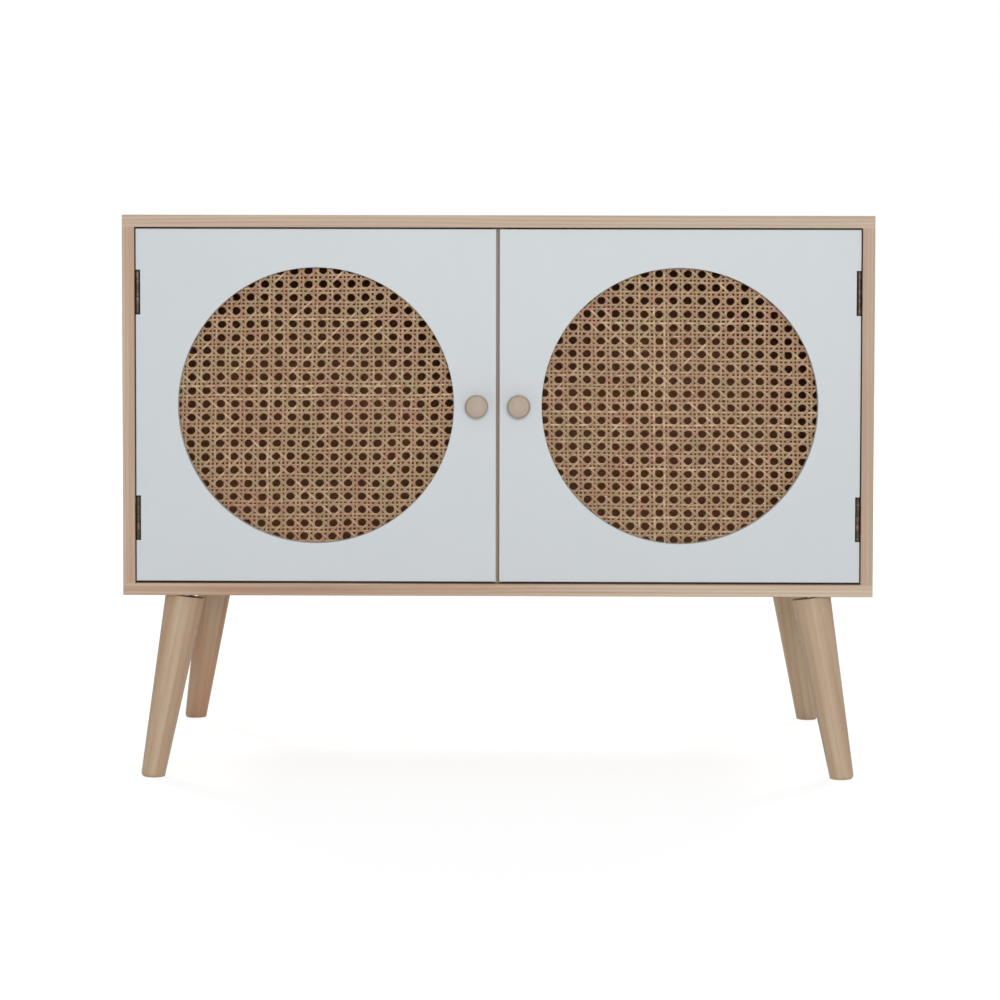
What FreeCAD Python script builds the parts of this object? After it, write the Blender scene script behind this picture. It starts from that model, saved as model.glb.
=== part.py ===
"""Record cabinet: a light-wood case on splayed legs with two painted doors and round cane windows.

Frame: millimetres, +X to the right, +Y to the back, +Z up. The origin is on the floor, in the middle
of the case. Every driving size is a cell of the sheet named Sizes, and each piece is bound to those
cells by expressions. In this file the expressions use the plain cell names, and tied() adds the
sheet's name to them.
"""
import FreeCAD
import Part
import Sketcher
import math
import os
import re

Vector = FreeCAD.Vector
Rotation = FreeCAD.Rotation

# ---------------------------------------------------------------------------------------------
# Driving sizes, in millimetres
# ---------------------------------------------------------------------------------------------

SIZES = [
    # the case
    ("CaseWidth", 800.0, "outer width of the case"),
    ("CaseDepth", 400.0, "outer depth of the case"),
    ("CaseHeight", 406.0, "outer height of the case, without the legs"),
    ("BoardThickness", 13.0, "all five boards of the case"),
    ("LegHeight", 194.0, "floor to underside"),
    ("CaseRound", 1.0, "rounding of the outer edges of the case"),
    ("BackThickness", 3.0, "sheet that closes the back"),
    ("BackLap", 6.0, "how far the back sheet laps onto the boards"),
    ("BackRebateDepth", 4.0, "depth of the rebate for the back sheet"),
    ("BackPlay", 0.5, "play round the back sheet in its rebate"),
    ("DowelRadius", 3.0, "wooden dowels"),
    ("DowelLength", 26.0, "wooden dowels"),
    ("DowelBite", 10.0, "how far a dowel goes into a level board"),
    ("DowelMargin", 60.0, "outer dowels to the front and back of the case"),
    ("DowelFit", 0.05, "radial play of a dowel"),
    ("DowelEndPlay", 1.0, "space at each end of a dowel"),
    ("NailRadius", 0.6, "brads that hold the back"),
    ("NailLength", 9.0, "brads that hold the back"),
    ("NailHeadRadius", 1.6, "brads that hold the back"),
    ("NailHeadHeight", 0.5, "brads that hold the back"),
    ("NailMargin", 40.0, "first brad to the corner of the case"),
    # the doors
    ("DoorRecess", 2.0, "door face behind the front edges of the case"),
    ("DoorThickness", 13.0, "painted door board"),
    ("DoorSideGap", 1.2, "door to side panel"),
    ("DoorTopGap", 1.7, "door to top panel"),
    ("DoorBottomGap", 2.3, "door to bottom panel"),
    ("DoorCentreGap", 3.5, "door to door"),
    ("DoorStopGap", 1.0, "door back to the divider's front edge"),
    ("DoorRound", 0.8, "rounding of the door's front edges"),
    ("WindowDiameter", 294.0, "round cut-out of a door"),
    # the cane and its ring
    ("CaneRebateDepth", 4.0, "rebate in the door's back for cane and ring"),
    ("CaneRebateWidth", 10.0, "rebate round the cut-out"),
    ("CaneEdgePlay", 1.0, "edge of the webbing to the rebate's wall"),
    ("RingPlay", 0.3, "ring to the rebate's wall"),
    ("CanePitchAcross", 15.3, "from hole to hole, across"),
    ("CanePitchUp", 14.2, "from hole to hole, upwards"),
    ("StrandWidth", 2.3, "one cane strand"),
    ("StrandThickness", 0.35, "one cane strand"),
    ("StrandPairOffset", 2.1, "strand of a pair to the pair's middle"),
    ("RingPinRadius", 0.5, "pins through the ring"),
    ("RingPinLength", 6.0, "pins through the ring"),
    ("RingPinHeadRadius", 1.0, "pins through the ring"),
    ("RingPinHeadHeight", 0.4, "pins through the ring"),
    # the hinges
    ("HingeLength", 45.4, "leaves of a butt hinge"),
    ("HingeInset", 67.5, "hinge centre to the door's top or bottom"),
    ("KnuckleRadius", 2.8, "hinge barrel"),
    ("KnuckleGap", 0.3, "between two knuckles"),
    ("BarrelGap", 0.3, "barrel to the wood on either side"),
    ("AxisSetback", 2.0, "hinge axis behind the door's face"),
    ("LeafThickness", 1.2, "hinge leaf"),
    ("LeafReach", 10.0, "hinge axis to the leaf's back edge"),
    ("LeafScrewSetback", 6.5, "hinge axis to the leaf's screws"),
    ("LeafScrewSpread", 16.5, "middle screw to outer screw"),
    ("NotchPlay", 0.4, "notch in the door past each end of the hinge"),
    ("PinRadius", 1.5, "hinge pin"),
    ("PinFit", 0.05, "radial play of the hinge pin"),
    ("PinHeadRadius", 2.3, "ends of the hinge pin"),
    ("PinHeadHeight", 0.8, "ends of the hinge pin"),
    ("PinHeadRound", 0.5, "ends of the hinge pin"),
    ("ScrewRadius", 1.25, "small countersunk screws"),
    ("ScrewHeadRadius", 2.4, "small countersunk screws"),
    ("ScrewHeadHeight", 1.0, "small countersunk screws"),
    ("ScrewLength", 10.0, "small countersunk screws"),
    ("ScrewFit", 0.05, "radial play of a screw in its hole"),
    ("ScrewEndPlay", 0.5, "space past the end of a screw"),
    # the knobs
    ("KnobRadius", 12.65, "widest part of the knob, before its edges are softened"),
    ("KnobRimHeight", 14.0, "door to the widest part"),
    ("KnobNeckRadius", 6.5, "neck of the knob, at the door"),
    ("KnobWaistRadius", 6.0, "narrowest part of the knob"),
    ("KnobWaistHeight", 5.8, "door to the narrowest part"),
    ("KnobFlareRadius", 11.1, "underside of the knob, below the rim"),
    ("KnobFlareHeight", 11.5, "door to the end of the underside"),
    ("KnobShoulderRadius", 10.6, "edge of the shallow dome"),
    ("KnobShoulderHeight", 18.4, "door to the edge of the dome"),
    ("KnobCrownRadius", 5.6, "flat middle of the dome"),
    ("KnobHeight", 20.0, "turned knob"),
    ("KnobSoftening", 1.2, "rounding of the knob's edges"),
    ("KnobInset", 3.1, "knob beyond the middle of the wood between free edge and cane, towards the cane"),
    ("KnobScrewRadius", 2.0, "screw that holds a knob"),
    ("KnobScrewBite", 10.0, "how far the screw goes into the knob"),
    ("KnobScrewHeadRadius", 3.8, "screw that holds a knob"),
    ("KnobScrewHeadHeight", 2.2, "screw that holds a knob"),
    # the magnetic catches
    ("CatchLength", 38.0, "catch housing, upwards"),
    ("CatchWidth", 11.0, "catch housing, out from the divider"),
    ("CatchDepth", 15.0, "catch housing, front to back"),
    ("CatchRise", 70.0, "catch centre above the door's centre"),
    ("CatchScrewSpread", 14.0, "catch centre to its screws"),
    ("CatchScrewSetback", 9.5, "front of the housing to its screws"),
    ("CatchScrewWeb", 1.5, "wood left between the screws of both catches"),
    ("CatchBase", 4.0, "housing under a screw head"),
    ("CatchRound", 1.0, "rounding of the housing"),
    ("MagnetLength", 18.0, "magnet, upwards"),
    ("MagnetWidth", 5.0, "magnet, across"),
    ("MagnetDepth", 6.0, "magnet, front to back"),
    ("MagnetProud", 0.5, "magnet in front of its housing"),
    ("MagnetFit", 0.1, "play round the magnet"),
    ("StrikeLength", 30.0, "strike plate, upwards"),
    ("StrikeWidth", 10.0, "strike plate, across"),
    ("StrikeThickness", 1.2, "strike plate"),
    ("StrikeRound", 2.0, "corners of the strike plate"),
    ("StrikeAirGap", 0.3, "strike plate to magnet when shut"),
    ("StrikeScrewLength", 8.0, "screw of the strike plate"),
    # the legs
    ("LegTopRadius", 21.2, "leg at its top, before the top is trimmed"),
    ("LegFootRadius", 12.5, "leg at its foot"),
    ("LegTopTiltShare", 0.713, "tilt of the trimmed top, as a share of the leg's own tilt"),
    ("LegTopSpare", 1.0, "least length that the trim takes off"),
    ("LegFootRound", 5.0, "rounding of the foot"),
    ("LegInsetSide", 63.5, "leg axis at the underside to the side of the case"),
    ("LegInsetFront", 30.0, "leg axis at the underside to the front or back"),
    ("LegSplay", 32.0, "how far a foot stands out, across and lengthwise"),
    ("LegSeatGap", 0.1, "highest point of the leg to the underside"),
    ("SoleCut", 4.0, "how much of the foot is cut level"),
    ("BoltRadius", 4.0, "hanger bolt"),
    ("BoltBite", 32.0, "hanger bolt below the underside"),
    ("BoltFit", 0.05, "radial play of the bolt"),
    ("BoltEndPlay", 1.5, "bore past the bolt"),
    ("InsertRadius", 6.0, "threaded insert in the underside"),
    ("InsertCover", 1.4, "wood left above the insert"),
    ("InsertSunk", 0.3, "insert below the surface"),
]

# ---------------------------------------------------------------------------------------------
# Places and counts
# ---------------------------------------------------------------------------------------------

SIDES = {"left": -1, "right": 1}
HEIGHTS = {"bottom": -1, "top": 1}
LEG_ROWS = {"front": -1, "rear": 1}
LEVEL_NAIL_SHARES = (-1, -0.6, -0.2, 0.2, 0.6, 1)
UPRIGHT_NAIL_SHARES = (-1, 0, 1)
RING_PINS = 12
FRAME_KNUCKLES = 3
DOOR_KNUCKLES = 2
LEAF_SCREWS = 3
LEG_TOP_SLANT = 0.43
TOUCH = 1e-4

# ---------------------------------------------------------------------------------------------
# Derived sizes, as expressions of the cells
# ---------------------------------------------------------------------------------------------

FRONT = "(-CaseDepth / 2)"
INNER_WIDTH = "(CaseWidth - 2 * BoardThickness)"
INNER_HEIGHT = "(CaseHeight - 2 * BoardThickness)"
FLOOR_BOARD_TOP = "(LegHeight + BoardThickness)"
TOP_BOARD_UNDER = "(LegHeight + CaseHeight - BoardThickness)"
DOWEL_ROW = "(CaseDepth / 2 - DowelMargin)"
BACK_FRONT_FACE = "(CaseDepth / 2 - BackRebateDepth)"

DOOR_FACE = f"({FRONT} + DoorRecess)"
DOOR_BACK = f"({DOOR_FACE} + DoorThickness)"
DOOR_WIDTH = f"(({INNER_WIDTH} - DoorCentreGap) / 2 - DoorSideGap)"
DOOR_HEIGHT = f"({INNER_HEIGHT} - DoorTopGap - DoorBottomGap)"
DOOR_X = f"(DoorCentreGap / 2 + {DOOR_WIDTH} / 2)"
DOOR_Z = f"({FLOOR_BOARD_TOP} + DoorBottomGap + {DOOR_HEIGHT} / 2)"
DIVIDER_FRONT = f"({DOOR_BACK} + DoorStopGap)"

REBATE_RADIUS = "(WindowDiameter / 2 + CaneRebateWidth)"
CANE_RADIUS = f"({REBATE_RADIUS} - CaneEdgePlay)"
CANE_THICKNESS = "(4 * StrandThickness)"
CANE_FRONT = f"({DOOR_BACK} - CaneRebateDepth)"
RING_THICKNESS = f"(CaneRebateDepth - {CANE_THICKNESS})"
RING_OUTER = f"({REBATE_RADIUS} - RingPlay)"
RING_PIN_CIRCLE = f"((WindowDiameter / 2 + {RING_OUTER}) / 2)"

HINGE_X = f"({INNER_WIDTH} / 2 - BarrelGap - KnuckleRadius)"
HINGE_Y = f"({DOOR_FACE} + AxisSetback)"
HINGE_DZ = f"({DOOR_HEIGHT} / 2 - HingeInset)"
LEAF_FACE = "(KnuckleRadius + BarrelGap)"
LEAF_SLOT = "(KnuckleRadius + KnuckleGap)"
LEAF_Y = f"(({LEAF_SLOT} + LeafReach) / 2)"
KNUCKLE_PITCH = f"(HingeLength / {FRAME_KNUCKLES + DOOR_KNUCKLES})"
NOTCH_DEPTH = "(2 * BarrelGap + 2 * KnuckleRadius - DoorSideGap)"
NOTCH_LENGTH = "(HingeLength + 2 * PinHeadHeight + 2 * NotchPlay)"
LEAF_SCREW_Y = f"({HINGE_Y} + LeafScrewSetback)"
LEAF_SCREW_DEPTH = "(ScrewLength - LeafThickness + ScrewEndPlay)"

STILE_WOOD = f"({DOOR_WIDTH} / 2 - {REBATE_RADIUS})"
KNOB_TO_EDGE = f"({STILE_WOOD} / 2 + KnobInset)"
KNOB_X = f"(DoorCentreGap / 2 + {KNOB_TO_EDGE})"
CATCH_Z = f"({DOOR_Z} + CatchRise)"
MAGNET_FRONT = f"({DOOR_BACK} + StrikeThickness + StrikeAirGap)"
CATCH_FRONT = f"({MAGNET_FRONT} + MagnetProud)"
CATCH_X = "(BoardThickness / 2 + CatchWidth / 2)"
CATCH_SCREW_Y = f"({CATCH_FRONT} + CatchScrewSetback)"
CATCH_SCREW_BITE = "(BoardThickness / 2 - CatchScrewWeb / 2)"

LEG_TILT = "(atan(LegSplay * sqrt(2) / LegHeight))"
LEG_RISE = "(sqrt(LegHeight ^ 2 + 2 * LegSplay ^ 2) / LegHeight)"
LEG_X = "(CaseWidth / 2 - LegInsetSide)"
LEG_Y = "(CaseDepth / 2 - LegInsetFront)"
LEG_TOP_TILT = f"({LEG_TILT} * LegTopTiltShare)"
LEG_TOP_TURN = f"((1 + {LEG_TOP_SLANT}) / sqrt(2 + 2 * {LEG_TOP_SLANT} ^ 2))"
LEG_TRIM = (
    f"(cos({LEG_TILT}) * cos({LEG_TOP_TILT}) + sin({LEG_TILT}) * sin({LEG_TOP_TILT}) * {LEG_TOP_TURN})"
)
LEG_TRIM_RISE = f"(cos({LEG_TILT}) / {LEG_TRIM})"
LEG_TOP_DROP = (
    f"(LegSeatGap + LegTopRadius"
    f" * sqrt(1 - 2 * {LEG_TRIM_RISE} * cos({LEG_TOP_TILT}) + {LEG_TRIM_RISE} ^ 2))"
)
LEG_FOOT_LIFT = (
    f"((LegFootRadius - LegFootRound) * sin({LEG_TILT})"
    f" + LegFootRound * (1 - cos({LEG_TILT})) - SoleCut)"
)
LEG_TOP = (
    f"({LEG_TOP_DROP} * {LEG_RISE} - LegTopRadius * sqrt(1 - {LEG_TRIM} ^ 2) / {LEG_TRIM}"
    f" - LegTopSpare)"
)
LEG_END = f"((LegHeight - {LEG_FOOT_LIFT}) * {LEG_RISE})"
INSERT_BORE = (
    f"((BoardThickness - InsertCover - InsertRadius * sin({LEG_TILT})) / cos({LEG_TILT}))"
)
INSERT_LOW = f"(InsertRadius * tan({LEG_TILT}) + InsertSunk)"

# ---------------------------------------------------------------------------------------------
# The document and its sheet
# ---------------------------------------------------------------------------------------------

doc = FreeCAD.newDocument("RecordCabinet")
sheet = doc.addObject("Spreadsheet::Sheet", "Sizes")
for row, (alias, size, note) in enumerate(SIZES, start=1):
    sheet.set(f"A{row}", alias)
    sheet.set(f"B{row}", str(size))
    sheet.set(f"C{row}", note)
    sheet.setAlias(f"B{row}", alias)
doc.recompute()
ALIASES = {alias for alias, size, note in SIZES}
nodes = []


def tied(expression):
    """The expression with the sheet's name put before each cell's name."""
    return re.sub(
        r"[A-Za-z]+",
        lambda word: "Sizes." + word[0] if word[0] in ALIASES else word[0],
        expression,
    )


def bind(thing, name, expression):
    """Binds a property of an object to an expression of the cells."""
    thing.setExpression(name, tied(expression))


def value(expression):
    """The number that an expression of the cells stands for now."""
    return float(sheet.evalExpression(tied(expression).replace("Sizes.", "")))


def place(thing, x="0", y="0", z="0", turn=None):
    """Places an object by three expressions, with an optional fixed turn."""
    if turn:
        thing.Placement = FreeCAD.Placement(Vector(), turn)
    bind(thing, "Placement.Base.x", x)
    bind(thing, "Placement.Base.y", y)
    bind(thing, "Placement.Base.z", z)


def node(thing):
    """Counts an object as a piece of the cabinet."""
    nodes.append(thing)
    return thing


# ---------------------------------------------------------------------------------------------
# Sketches and features
# ---------------------------------------------------------------------------------------------


def new_body(label):
    body = doc.addObject("PartDesign::Body", label)
    body.Label = label
    return node(body)


def origin_part(body, role):
    return next(part for part in body.Origin.OriginFeatures if part.Role == role)


def sketch_on(body, role, name, offset="0"):
    """A sketch on one of the body's origin planes, moved along the plane's normal.

    XY_Plane looks along +Z, XZ_Plane along -Y and YZ_Plane along +X.
    """
    sketch = body.newObject("Sketcher::SketchObject", name)
    sketch.AttachmentSupport = [(origin_part(body, role), "")]
    sketch.MapMode = "FlatFace"
    bind(sketch, "AttachmentOffset.Base.z", offset)
    return sketch


def dimension(sketch, kind, where, expression):
    """A dimension of a sketch, bound to an expression."""
    index = sketch.addConstraint(Sketcher.Constraint(kind, *where))
    bind(sketch, f"Constraints[{index}]", expression)


def rectangle(sketch, width, height, x="0", y="0"):
    """A rectangle with its centre at x, y."""
    first = sketch.GeometryCount
    corners = [Vector(-1, -1), Vector(1, -1), Vector(1, 1), Vector(-1, 1)]
    for i in range(4):
        sketch.addGeometry(Part.LineSegment(corners[i], corners[(i + 1) % 4]))
    for i in range(4):
        sketch.addConstraint(Sketcher.Constraint("Coincident", first + i, 2, first + (i + 1) % 4, 1))
        sketch.addConstraint(Sketcher.Constraint("Vertical" if i % 2 else "Horizontal", first + i))
    dimension(sketch, "DistanceX", (first, 1, first, 2, 2.0), width)
    dimension(sketch, "DistanceY", (first + 1, 1, first + 1, 2, 2.0), height)
    dimension(sketch, "DistanceX", (-1, 1, first, 1, -1.0), f"{x} - {width} / 2")
    dimension(sketch, "DistanceY", (-1, 1, first, 1, -1.0), f"{y} - {height} / 2")


def circle(sketch, radius, x="0", y="0"):
    """A circle with its centre at x, y."""
    index = sketch.GeometryCount
    sketch.addGeometry(Part.Circle(Vector(1, 1), Vector(0, 0, 1), 1))
    dimension(sketch, "Radius", (index, 1.0), radius)
    dimension(sketch, "DistanceX", (-1, 1, index, 3, 1.0), x)
    dimension(sketch, "DistanceY", (-1, 1, index, 3, 1.0), y)


def profile(sketch, points):
    """A closed outline of straight lines through points given as pairs of expressions."""
    first = sketch.GeometryCount
    count = len(points)
    spots = [Vector(value(x), value(y)) for x, y in points]
    for i in range(count):
        sketch.addGeometry(Part.LineSegment(spots[i], spots[(i + 1) % count]))
    for i, (x, y) in enumerate(points):
        sketch.addConstraint(Sketcher.Constraint("Coincident", first + i, 1, first + (i - 1) % count, 2))
        dimension(sketch, "DistanceX", (-1, 1, first + i, 1, spots[i].x), x)
        dimension(sketch, "DistanceY", (-1, 1, first + i, 1, spots[i].y), y)


def pad(body, sketch, length, name, along_normal=True):
    feature = body.newObject("PartDesign::Pad", name)
    feature.Profile = sketch
    bind(feature, "Length", length)
    feature.Reversed = not along_normal
    return feature


def pocket(body, sketch, depth, name, along_normal=False):
    """A pocket of a set depth, or through the whole body where depth is None."""
    feature = body.newObject("PartDesign::Pocket", name)
    feature.Profile = sketch
    feature.Reversed = along_normal
    if depth is None:
        feature.Type = "ThroughAll"
    else:
        bind(feature, "Length", depth)
    return feature


def revolve(body, sketch, name):
    """A full turn of a sketch in the XZ plane about its upright axis."""
    feature = body.newObject("PartDesign::Revolution", name)
    feature.Profile = sketch
    feature.ReferenceAxis = (sketch, ["V_Axis"])
    feature.Angle = 360
    return feature


def repeat(body, originals, count, length, name):
    """Copies features upwards: count of them, spread over a length."""
    feature = body.newObject("PartDesign::LinearPattern", name)
    feature.Originals = originals
    feature.Direction = (origin_part(body, "Z_Axis"), [""])
    feature.Occurrences = count
    bind(feature, "Length", length)
    body.Tip = feature
    return feature


def edges_where(shape, test):
    """Names of the edges whose middle point passes a test."""
    names = []
    for index, edge in enumerate(shape.Edges, start=1):
        middle = edge.valueAt((edge.FirstParameter + edge.LastParameter) / 2)
        if test(middle):
            names.append(f"Edge{index}")
    return names


def round_edges(body, base, radius, test, name):
    """Rounds the edges of a feature whose middle point passes a test."""
    doc.recompute()
    feature = body.newObject("PartDesign::Fillet", name)
    feature.Base = (base, edges_where(base.Shape, test))
    bind(feature, "Radius", radius)
    return feature


def near(a, b):
    return abs(a - b) < TOUCH


def off_axis(point):
    """Whether a point of a turned piece lies away from the axis."""
    return math.hypot(point.x, point.y) > TOUCH


# ---------------------------------------------------------------------------------------------
# Fasteners: each kind is built along its own axis and placed as often as it is needed
# ---------------------------------------------------------------------------------------------

TURN_TO = {
    "+x": Rotation(Vector(0, 0, 1), Vector(1, 0, 0)),
    "-x": Rotation(Vector(0, 0, 1), Vector(-1, 0, 0)),
    "+y": Rotation(Vector(0, 0, 1), Vector(0, 1, 0)),
    "-y": Rotation(Vector(0, 0, 1), Vector(0, -1, 0)),
}


def countersunk_screw(name, length):
    """A screw whose head's top is at the origin, and whose head faces +Z."""
    head = doc.addObject("Part::Cone", name + "Head")
    bind(head, "Radius1", "ScrewRadius")
    bind(head, "Radius2", "ScrewHeadRadius")
    bind(head, "Height", "ScrewHeadHeight")
    bind(head, "Placement.Base.z", "-ScrewHeadHeight")
    shank = doc.addObject("Part::Cylinder", name + "Shank")
    bind(shank, "Radius", "ScrewRadius")
    bind(shank, "Height", f"{length} - ScrewHeadHeight")
    bind(shank, "Placement.Base.z", f"-{length}")
    return fused(name, [head, shank])


def flat_headed_pin(name, radius, length, head_radius, head_height):
    """A pin whose head's underside is at the origin, and whose head faces +Z."""
    head = doc.addObject("Part::Cylinder", name + "Head")
    bind(head, "Radius", head_radius)
    bind(head, "Height", head_height)
    shank = doc.addObject("Part::Cylinder", name + "Shank")
    bind(shank, "Radius", radius)
    bind(shank, "Height", length)
    bind(shank, "Placement.Base.z", f"-{length}")
    return fused(name, [head, shank])


def fused(name, parts):
    joined = doc.addObject("Part::MultiFuse", name)
    joined.Shapes = parts
    return joined


def group(label, members):
    """Like fasteners that share one node, as separate solids."""
    held = doc.addObject("Part::Compound", label)
    held.Label = label
    held.Links = members
    return node(held)


def hinge_screw_rows(side, owner):
    """The screws of both hinges of one door, in the frame's or the door's leaves."""
    turn = TURN_TO["-x" if (side > 0) == (owner == "frame") else "+x"]
    reach = f"({INNER_WIDTH} / 2 - LeafThickness)"
    if owner == "door":
        reach = f"({INNER_WIDTH} / 2 - 2 * {LEAF_FACE} + LeafThickness)"
    screws = []
    for height in HEIGHTS.values():
        for step in (-1, 0, 1):
            screw = countersunk_screw("HingeScrew", "ScrewLength")
            z = f"{DOOR_Z} + {height} * {HINGE_DZ} + {step} * LeafScrewSpread"
            place(screw, f"{side} * {reach}", LEAF_SCREW_Y, z, turn)
            screws.append(screw)
    return screws


# ---------------------------------------------------------------------------------------------
# The case
# ---------------------------------------------------------------------------------------------


def dowel_holes(body, offset, centres, depth, name, into_normal):
    """Blind holes for a row of dowels at each of some distances from the middle."""
    sketch = sketch_on(body, "XY_Plane", name + "Sketch", offset)
    for x in centres:
        for step in (-1, 0, 1):
            circle(sketch, "DowelRadius + DowelFit", x, f"{step} * {DOWEL_ROW}")
    return pocket(body, sketch, depth, name, into_normal)


def level_board(label, height, faces_up):
    """The top or the bottom board, with its inner face up or down."""
    body = new_body(label)
    sketch = sketch_on(body, "XY_Plane", "Outline")
    rectangle(sketch, "CaseWidth", "CaseDepth")
    board = pad(body, sketch, "BoardThickness", "Board")
    half_width = value("CaseWidth / 2")
    half_depth = value("CaseDepth / 2")
    outer_z = 0.0 if faces_up else value("BoardThickness")
    inner_z = value("BoardThickness") - outer_z

    def outer_edge(middle):
        upright = near(abs(middle.x), half_width) and near(abs(middle.y), half_depth)
        return near(middle.z, outer_z) or (upright and not near(middle.z, inner_z))

    round_edges(body, board, "CaseRound", outer_edge, "OuterRounding")
    inner = "BoardThickness" if faces_up else "0"
    columns = [f"-({INNER_WIDTH} + BoardThickness) / 2", "0", f"({INNER_WIDTH} + BoardThickness) / 2"]
    depth = "DowelBite + DowelEndPlay"
    dowel_holes(body, inner, columns, depth, "DowelHoles", not faces_up)
    sketch = sketch_on(body, "XZ_Plane", "RebateSketch", "-CaseDepth / 2")
    lap_z = "BoardThickness - BackLap / 2" if faces_up else "BackLap / 2"
    rectangle(sketch, f"({INNER_WIDTH} + 2 * BackLap)", "BackLap", "0", lap_z)
    pocket(body, sketch, "BackRebateDepth", "BackRebate", True)
    place(body, z=height)
    return body


def insert_bores(body):
    """Four slanting blind bores in the underside, one for each leg's insert."""
    for across in SIDES.values():
        for along in LEG_ROWS.values():
            bore = body.newObject("PartDesign::SubtractiveCylinder", "InsertBore")
            bind(bore, "Radius", "InsertRadius")
            bind(bore, "Height", f"{INSERT_BORE} + {INSERT_LOW}")
            lean = Rotation(Vector(along, -across, 0), value(LEG_TILT))
            start = lean.multVec(Vector(0, 0, -value(INSERT_LOW)))
            bore.Placement = FreeCAD.Placement(start, lean)
            bind(bore, "Placement.Rotation.Angle", LEG_TILT)
            shift = f"{INSERT_LOW} * sin({LEG_TILT}) / sqrt(2)"
            bind(bore, "Placement.Base.x", f"{across} * ({LEG_X} + {shift})")
            bind(bore, "Placement.Base.y", f"{along} * ({LEG_Y} + {shift})")
            bind(bore, "Placement.Base.z", f"-{INSERT_LOW} * cos({LEG_TILT})")


def upright_board(label, x, y_front, y_back):
    """A board that stands between the bottom and the top board, with dowel holes at both ends."""
    body = new_body(label)
    sketch = sketch_on(body, "XY_Plane", "Section")
    rectangle(sketch, "BoardThickness", f"({y_back} - {y_front})", "0", f"({y_back} + {y_front}) / 2")
    board = pad(body, sketch, INNER_HEIGHT, "Board")
    place(body, x, "0", FLOOR_BOARD_TOP)
    return body, board


def upright_dowel_holes(body):
    depth = "DowelLength - DowelBite + DowelEndPlay"
    dowel_holes(body, "0", ["0"], depth, "LowerDowelHoles", True)
    dowel_holes(body, INNER_HEIGHT, ["0"], depth, "UpperDowelHoles", False)


def side_panel(name, side):
    body, board = upright_board(f"side_panel_{name}", f"{side} * (CaseWidth - BoardThickness) / 2", FRONT,
                                "(CaseDepth / 2)")
    outer_x = side * value("BoardThickness / 2")
    half_depth = value("CaseDepth / 2")

    def outer_corner(middle):
        return near(middle.x, outer_x) and near(abs(middle.y), half_depth)

    round_edges(body, board, "CaseRound", outer_corner, "OuterRounding")
    upright_dowel_holes(body)
    sketch = sketch_on(body, "XY_Plane", "RebateSketch")
    rectangle(sketch, "BackLap", "BackRebateDepth", f"{-side} * (BoardThickness - BackLap) / 2",
              "CaseDepth / 2 - BackRebateDepth / 2")
    pocket(body, sketch, None, "BackRebate", True)
    sketch = sketch_on(body, "YZ_Plane", "HingeHolesSketch", f"{-side} * BoardThickness / 2")
    for height in HEIGHTS.values():
        for step in (-1, 0, 1):
            z = f"{DOOR_Z} + {height} * {HINGE_DZ} + {step} * LeafScrewSpread - {FLOOR_BOARD_TOP}"
            circle(sketch, "ScrewRadius + ScrewFit", LEAF_SCREW_Y, z)
    pocket(body, sketch, LEAF_SCREW_DEPTH, "HingeHoles", side > 0)


def centre_divider():
    body, board = upright_board("centre_divider", "0", DIVIDER_FRONT, BACK_FRONT_FACE)
    upright_dowel_holes(body)
    for name, side in SIDES.items():
        sketch = sketch_on(body, "YZ_Plane", f"CatchHolesSketch_{name}", f"{side} * BoardThickness / 2")
        for step in (-1, 1):
            circle(sketch, "ScrewRadius + ScrewFit", CATCH_SCREW_Y,
                   f"{CATCH_Z} + {step} * CatchScrewSpread - {FLOOR_BOARD_TOP}")
        pocket(body, sketch, CATCH_SCREW_BITE, f"CatchHoles_{name}", side < 0)


def back_panel():
    body = new_body("back_panel")
    sketch = sketch_on(body, "XZ_Plane", "Outline")
    rectangle(sketch, f"({INNER_WIDTH} + 2 * BackLap - 2 * BackPlay)",
              f"({INNER_HEIGHT} + 2 * BackLap - 2 * BackPlay)")
    pad(body, sketch, "BackThickness", "Sheet", False)
    place(body, "0", BACK_FRONT_FACE, f"{FLOOR_BOARD_TOP} + {INNER_HEIGHT} / 2")


def back_panel_nails():
    """Brads along the four edges of the back and down the divider."""
    half_height = f"({INNER_HEIGHT} / 2 + BackLap / 2)"
    half_width = f"({INNER_WIDTH} / 2 + BackLap / 2)"
    spots = []
    for share in LEVEL_NAIL_SHARES:
        for edge in (-1, 1):
            spots.append((f"{share} * (CaseWidth / 2 - NailMargin)", f"{edge} * {half_height}"))
    for share in UPRIGHT_NAIL_SHARES:
        for edge in (-1, 1):
            spots.append((f"{edge} * {half_width}", f"{share} * ({INNER_HEIGHT} / 2 - NailMargin)"))
        spots.append(("0", f"{share} * ({INNER_HEIGHT} / 2 - NailMargin)"))
    nails = []
    for x, z in spots:
        nail = flat_headed_pin("BackNail", "NailRadius", "NailLength", "NailHeadRadius", "NailHeadHeight")
        place(nail, x, f"{BACK_FRONT_FACE} + BackThickness",
              f"{FLOOR_BOARD_TOP} + {INNER_HEIGHT} / 2 + {z}", TURN_TO["+y"])
        nails.append(nail)
    group("back_panel_nails", nails)


def panel_dowels():
    dowels = []
    for column in (-1, 0, 1):
        for step in (-1, 0, 1):
            for z in (f"{FLOOR_BOARD_TOP} - DowelBite", f"{TOP_BOARD_UNDER} + DowelBite - DowelLength"):
                dowel = doc.addObject("Part::Cylinder", "Dowel")
                bind(dowel, "Radius", "DowelRadius")
                bind(dowel, "Height", "DowelLength")
                place(dowel, f"{column} * ({INNER_WIDTH} + BoardThickness) / 2", f"{step} * {DOWEL_ROW}", z)
                dowels.append(dowel)
    group("panel_dowels", dowels)


# ---------------------------------------------------------------------------------------------
# The doors
# ---------------------------------------------------------------------------------------------


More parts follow.
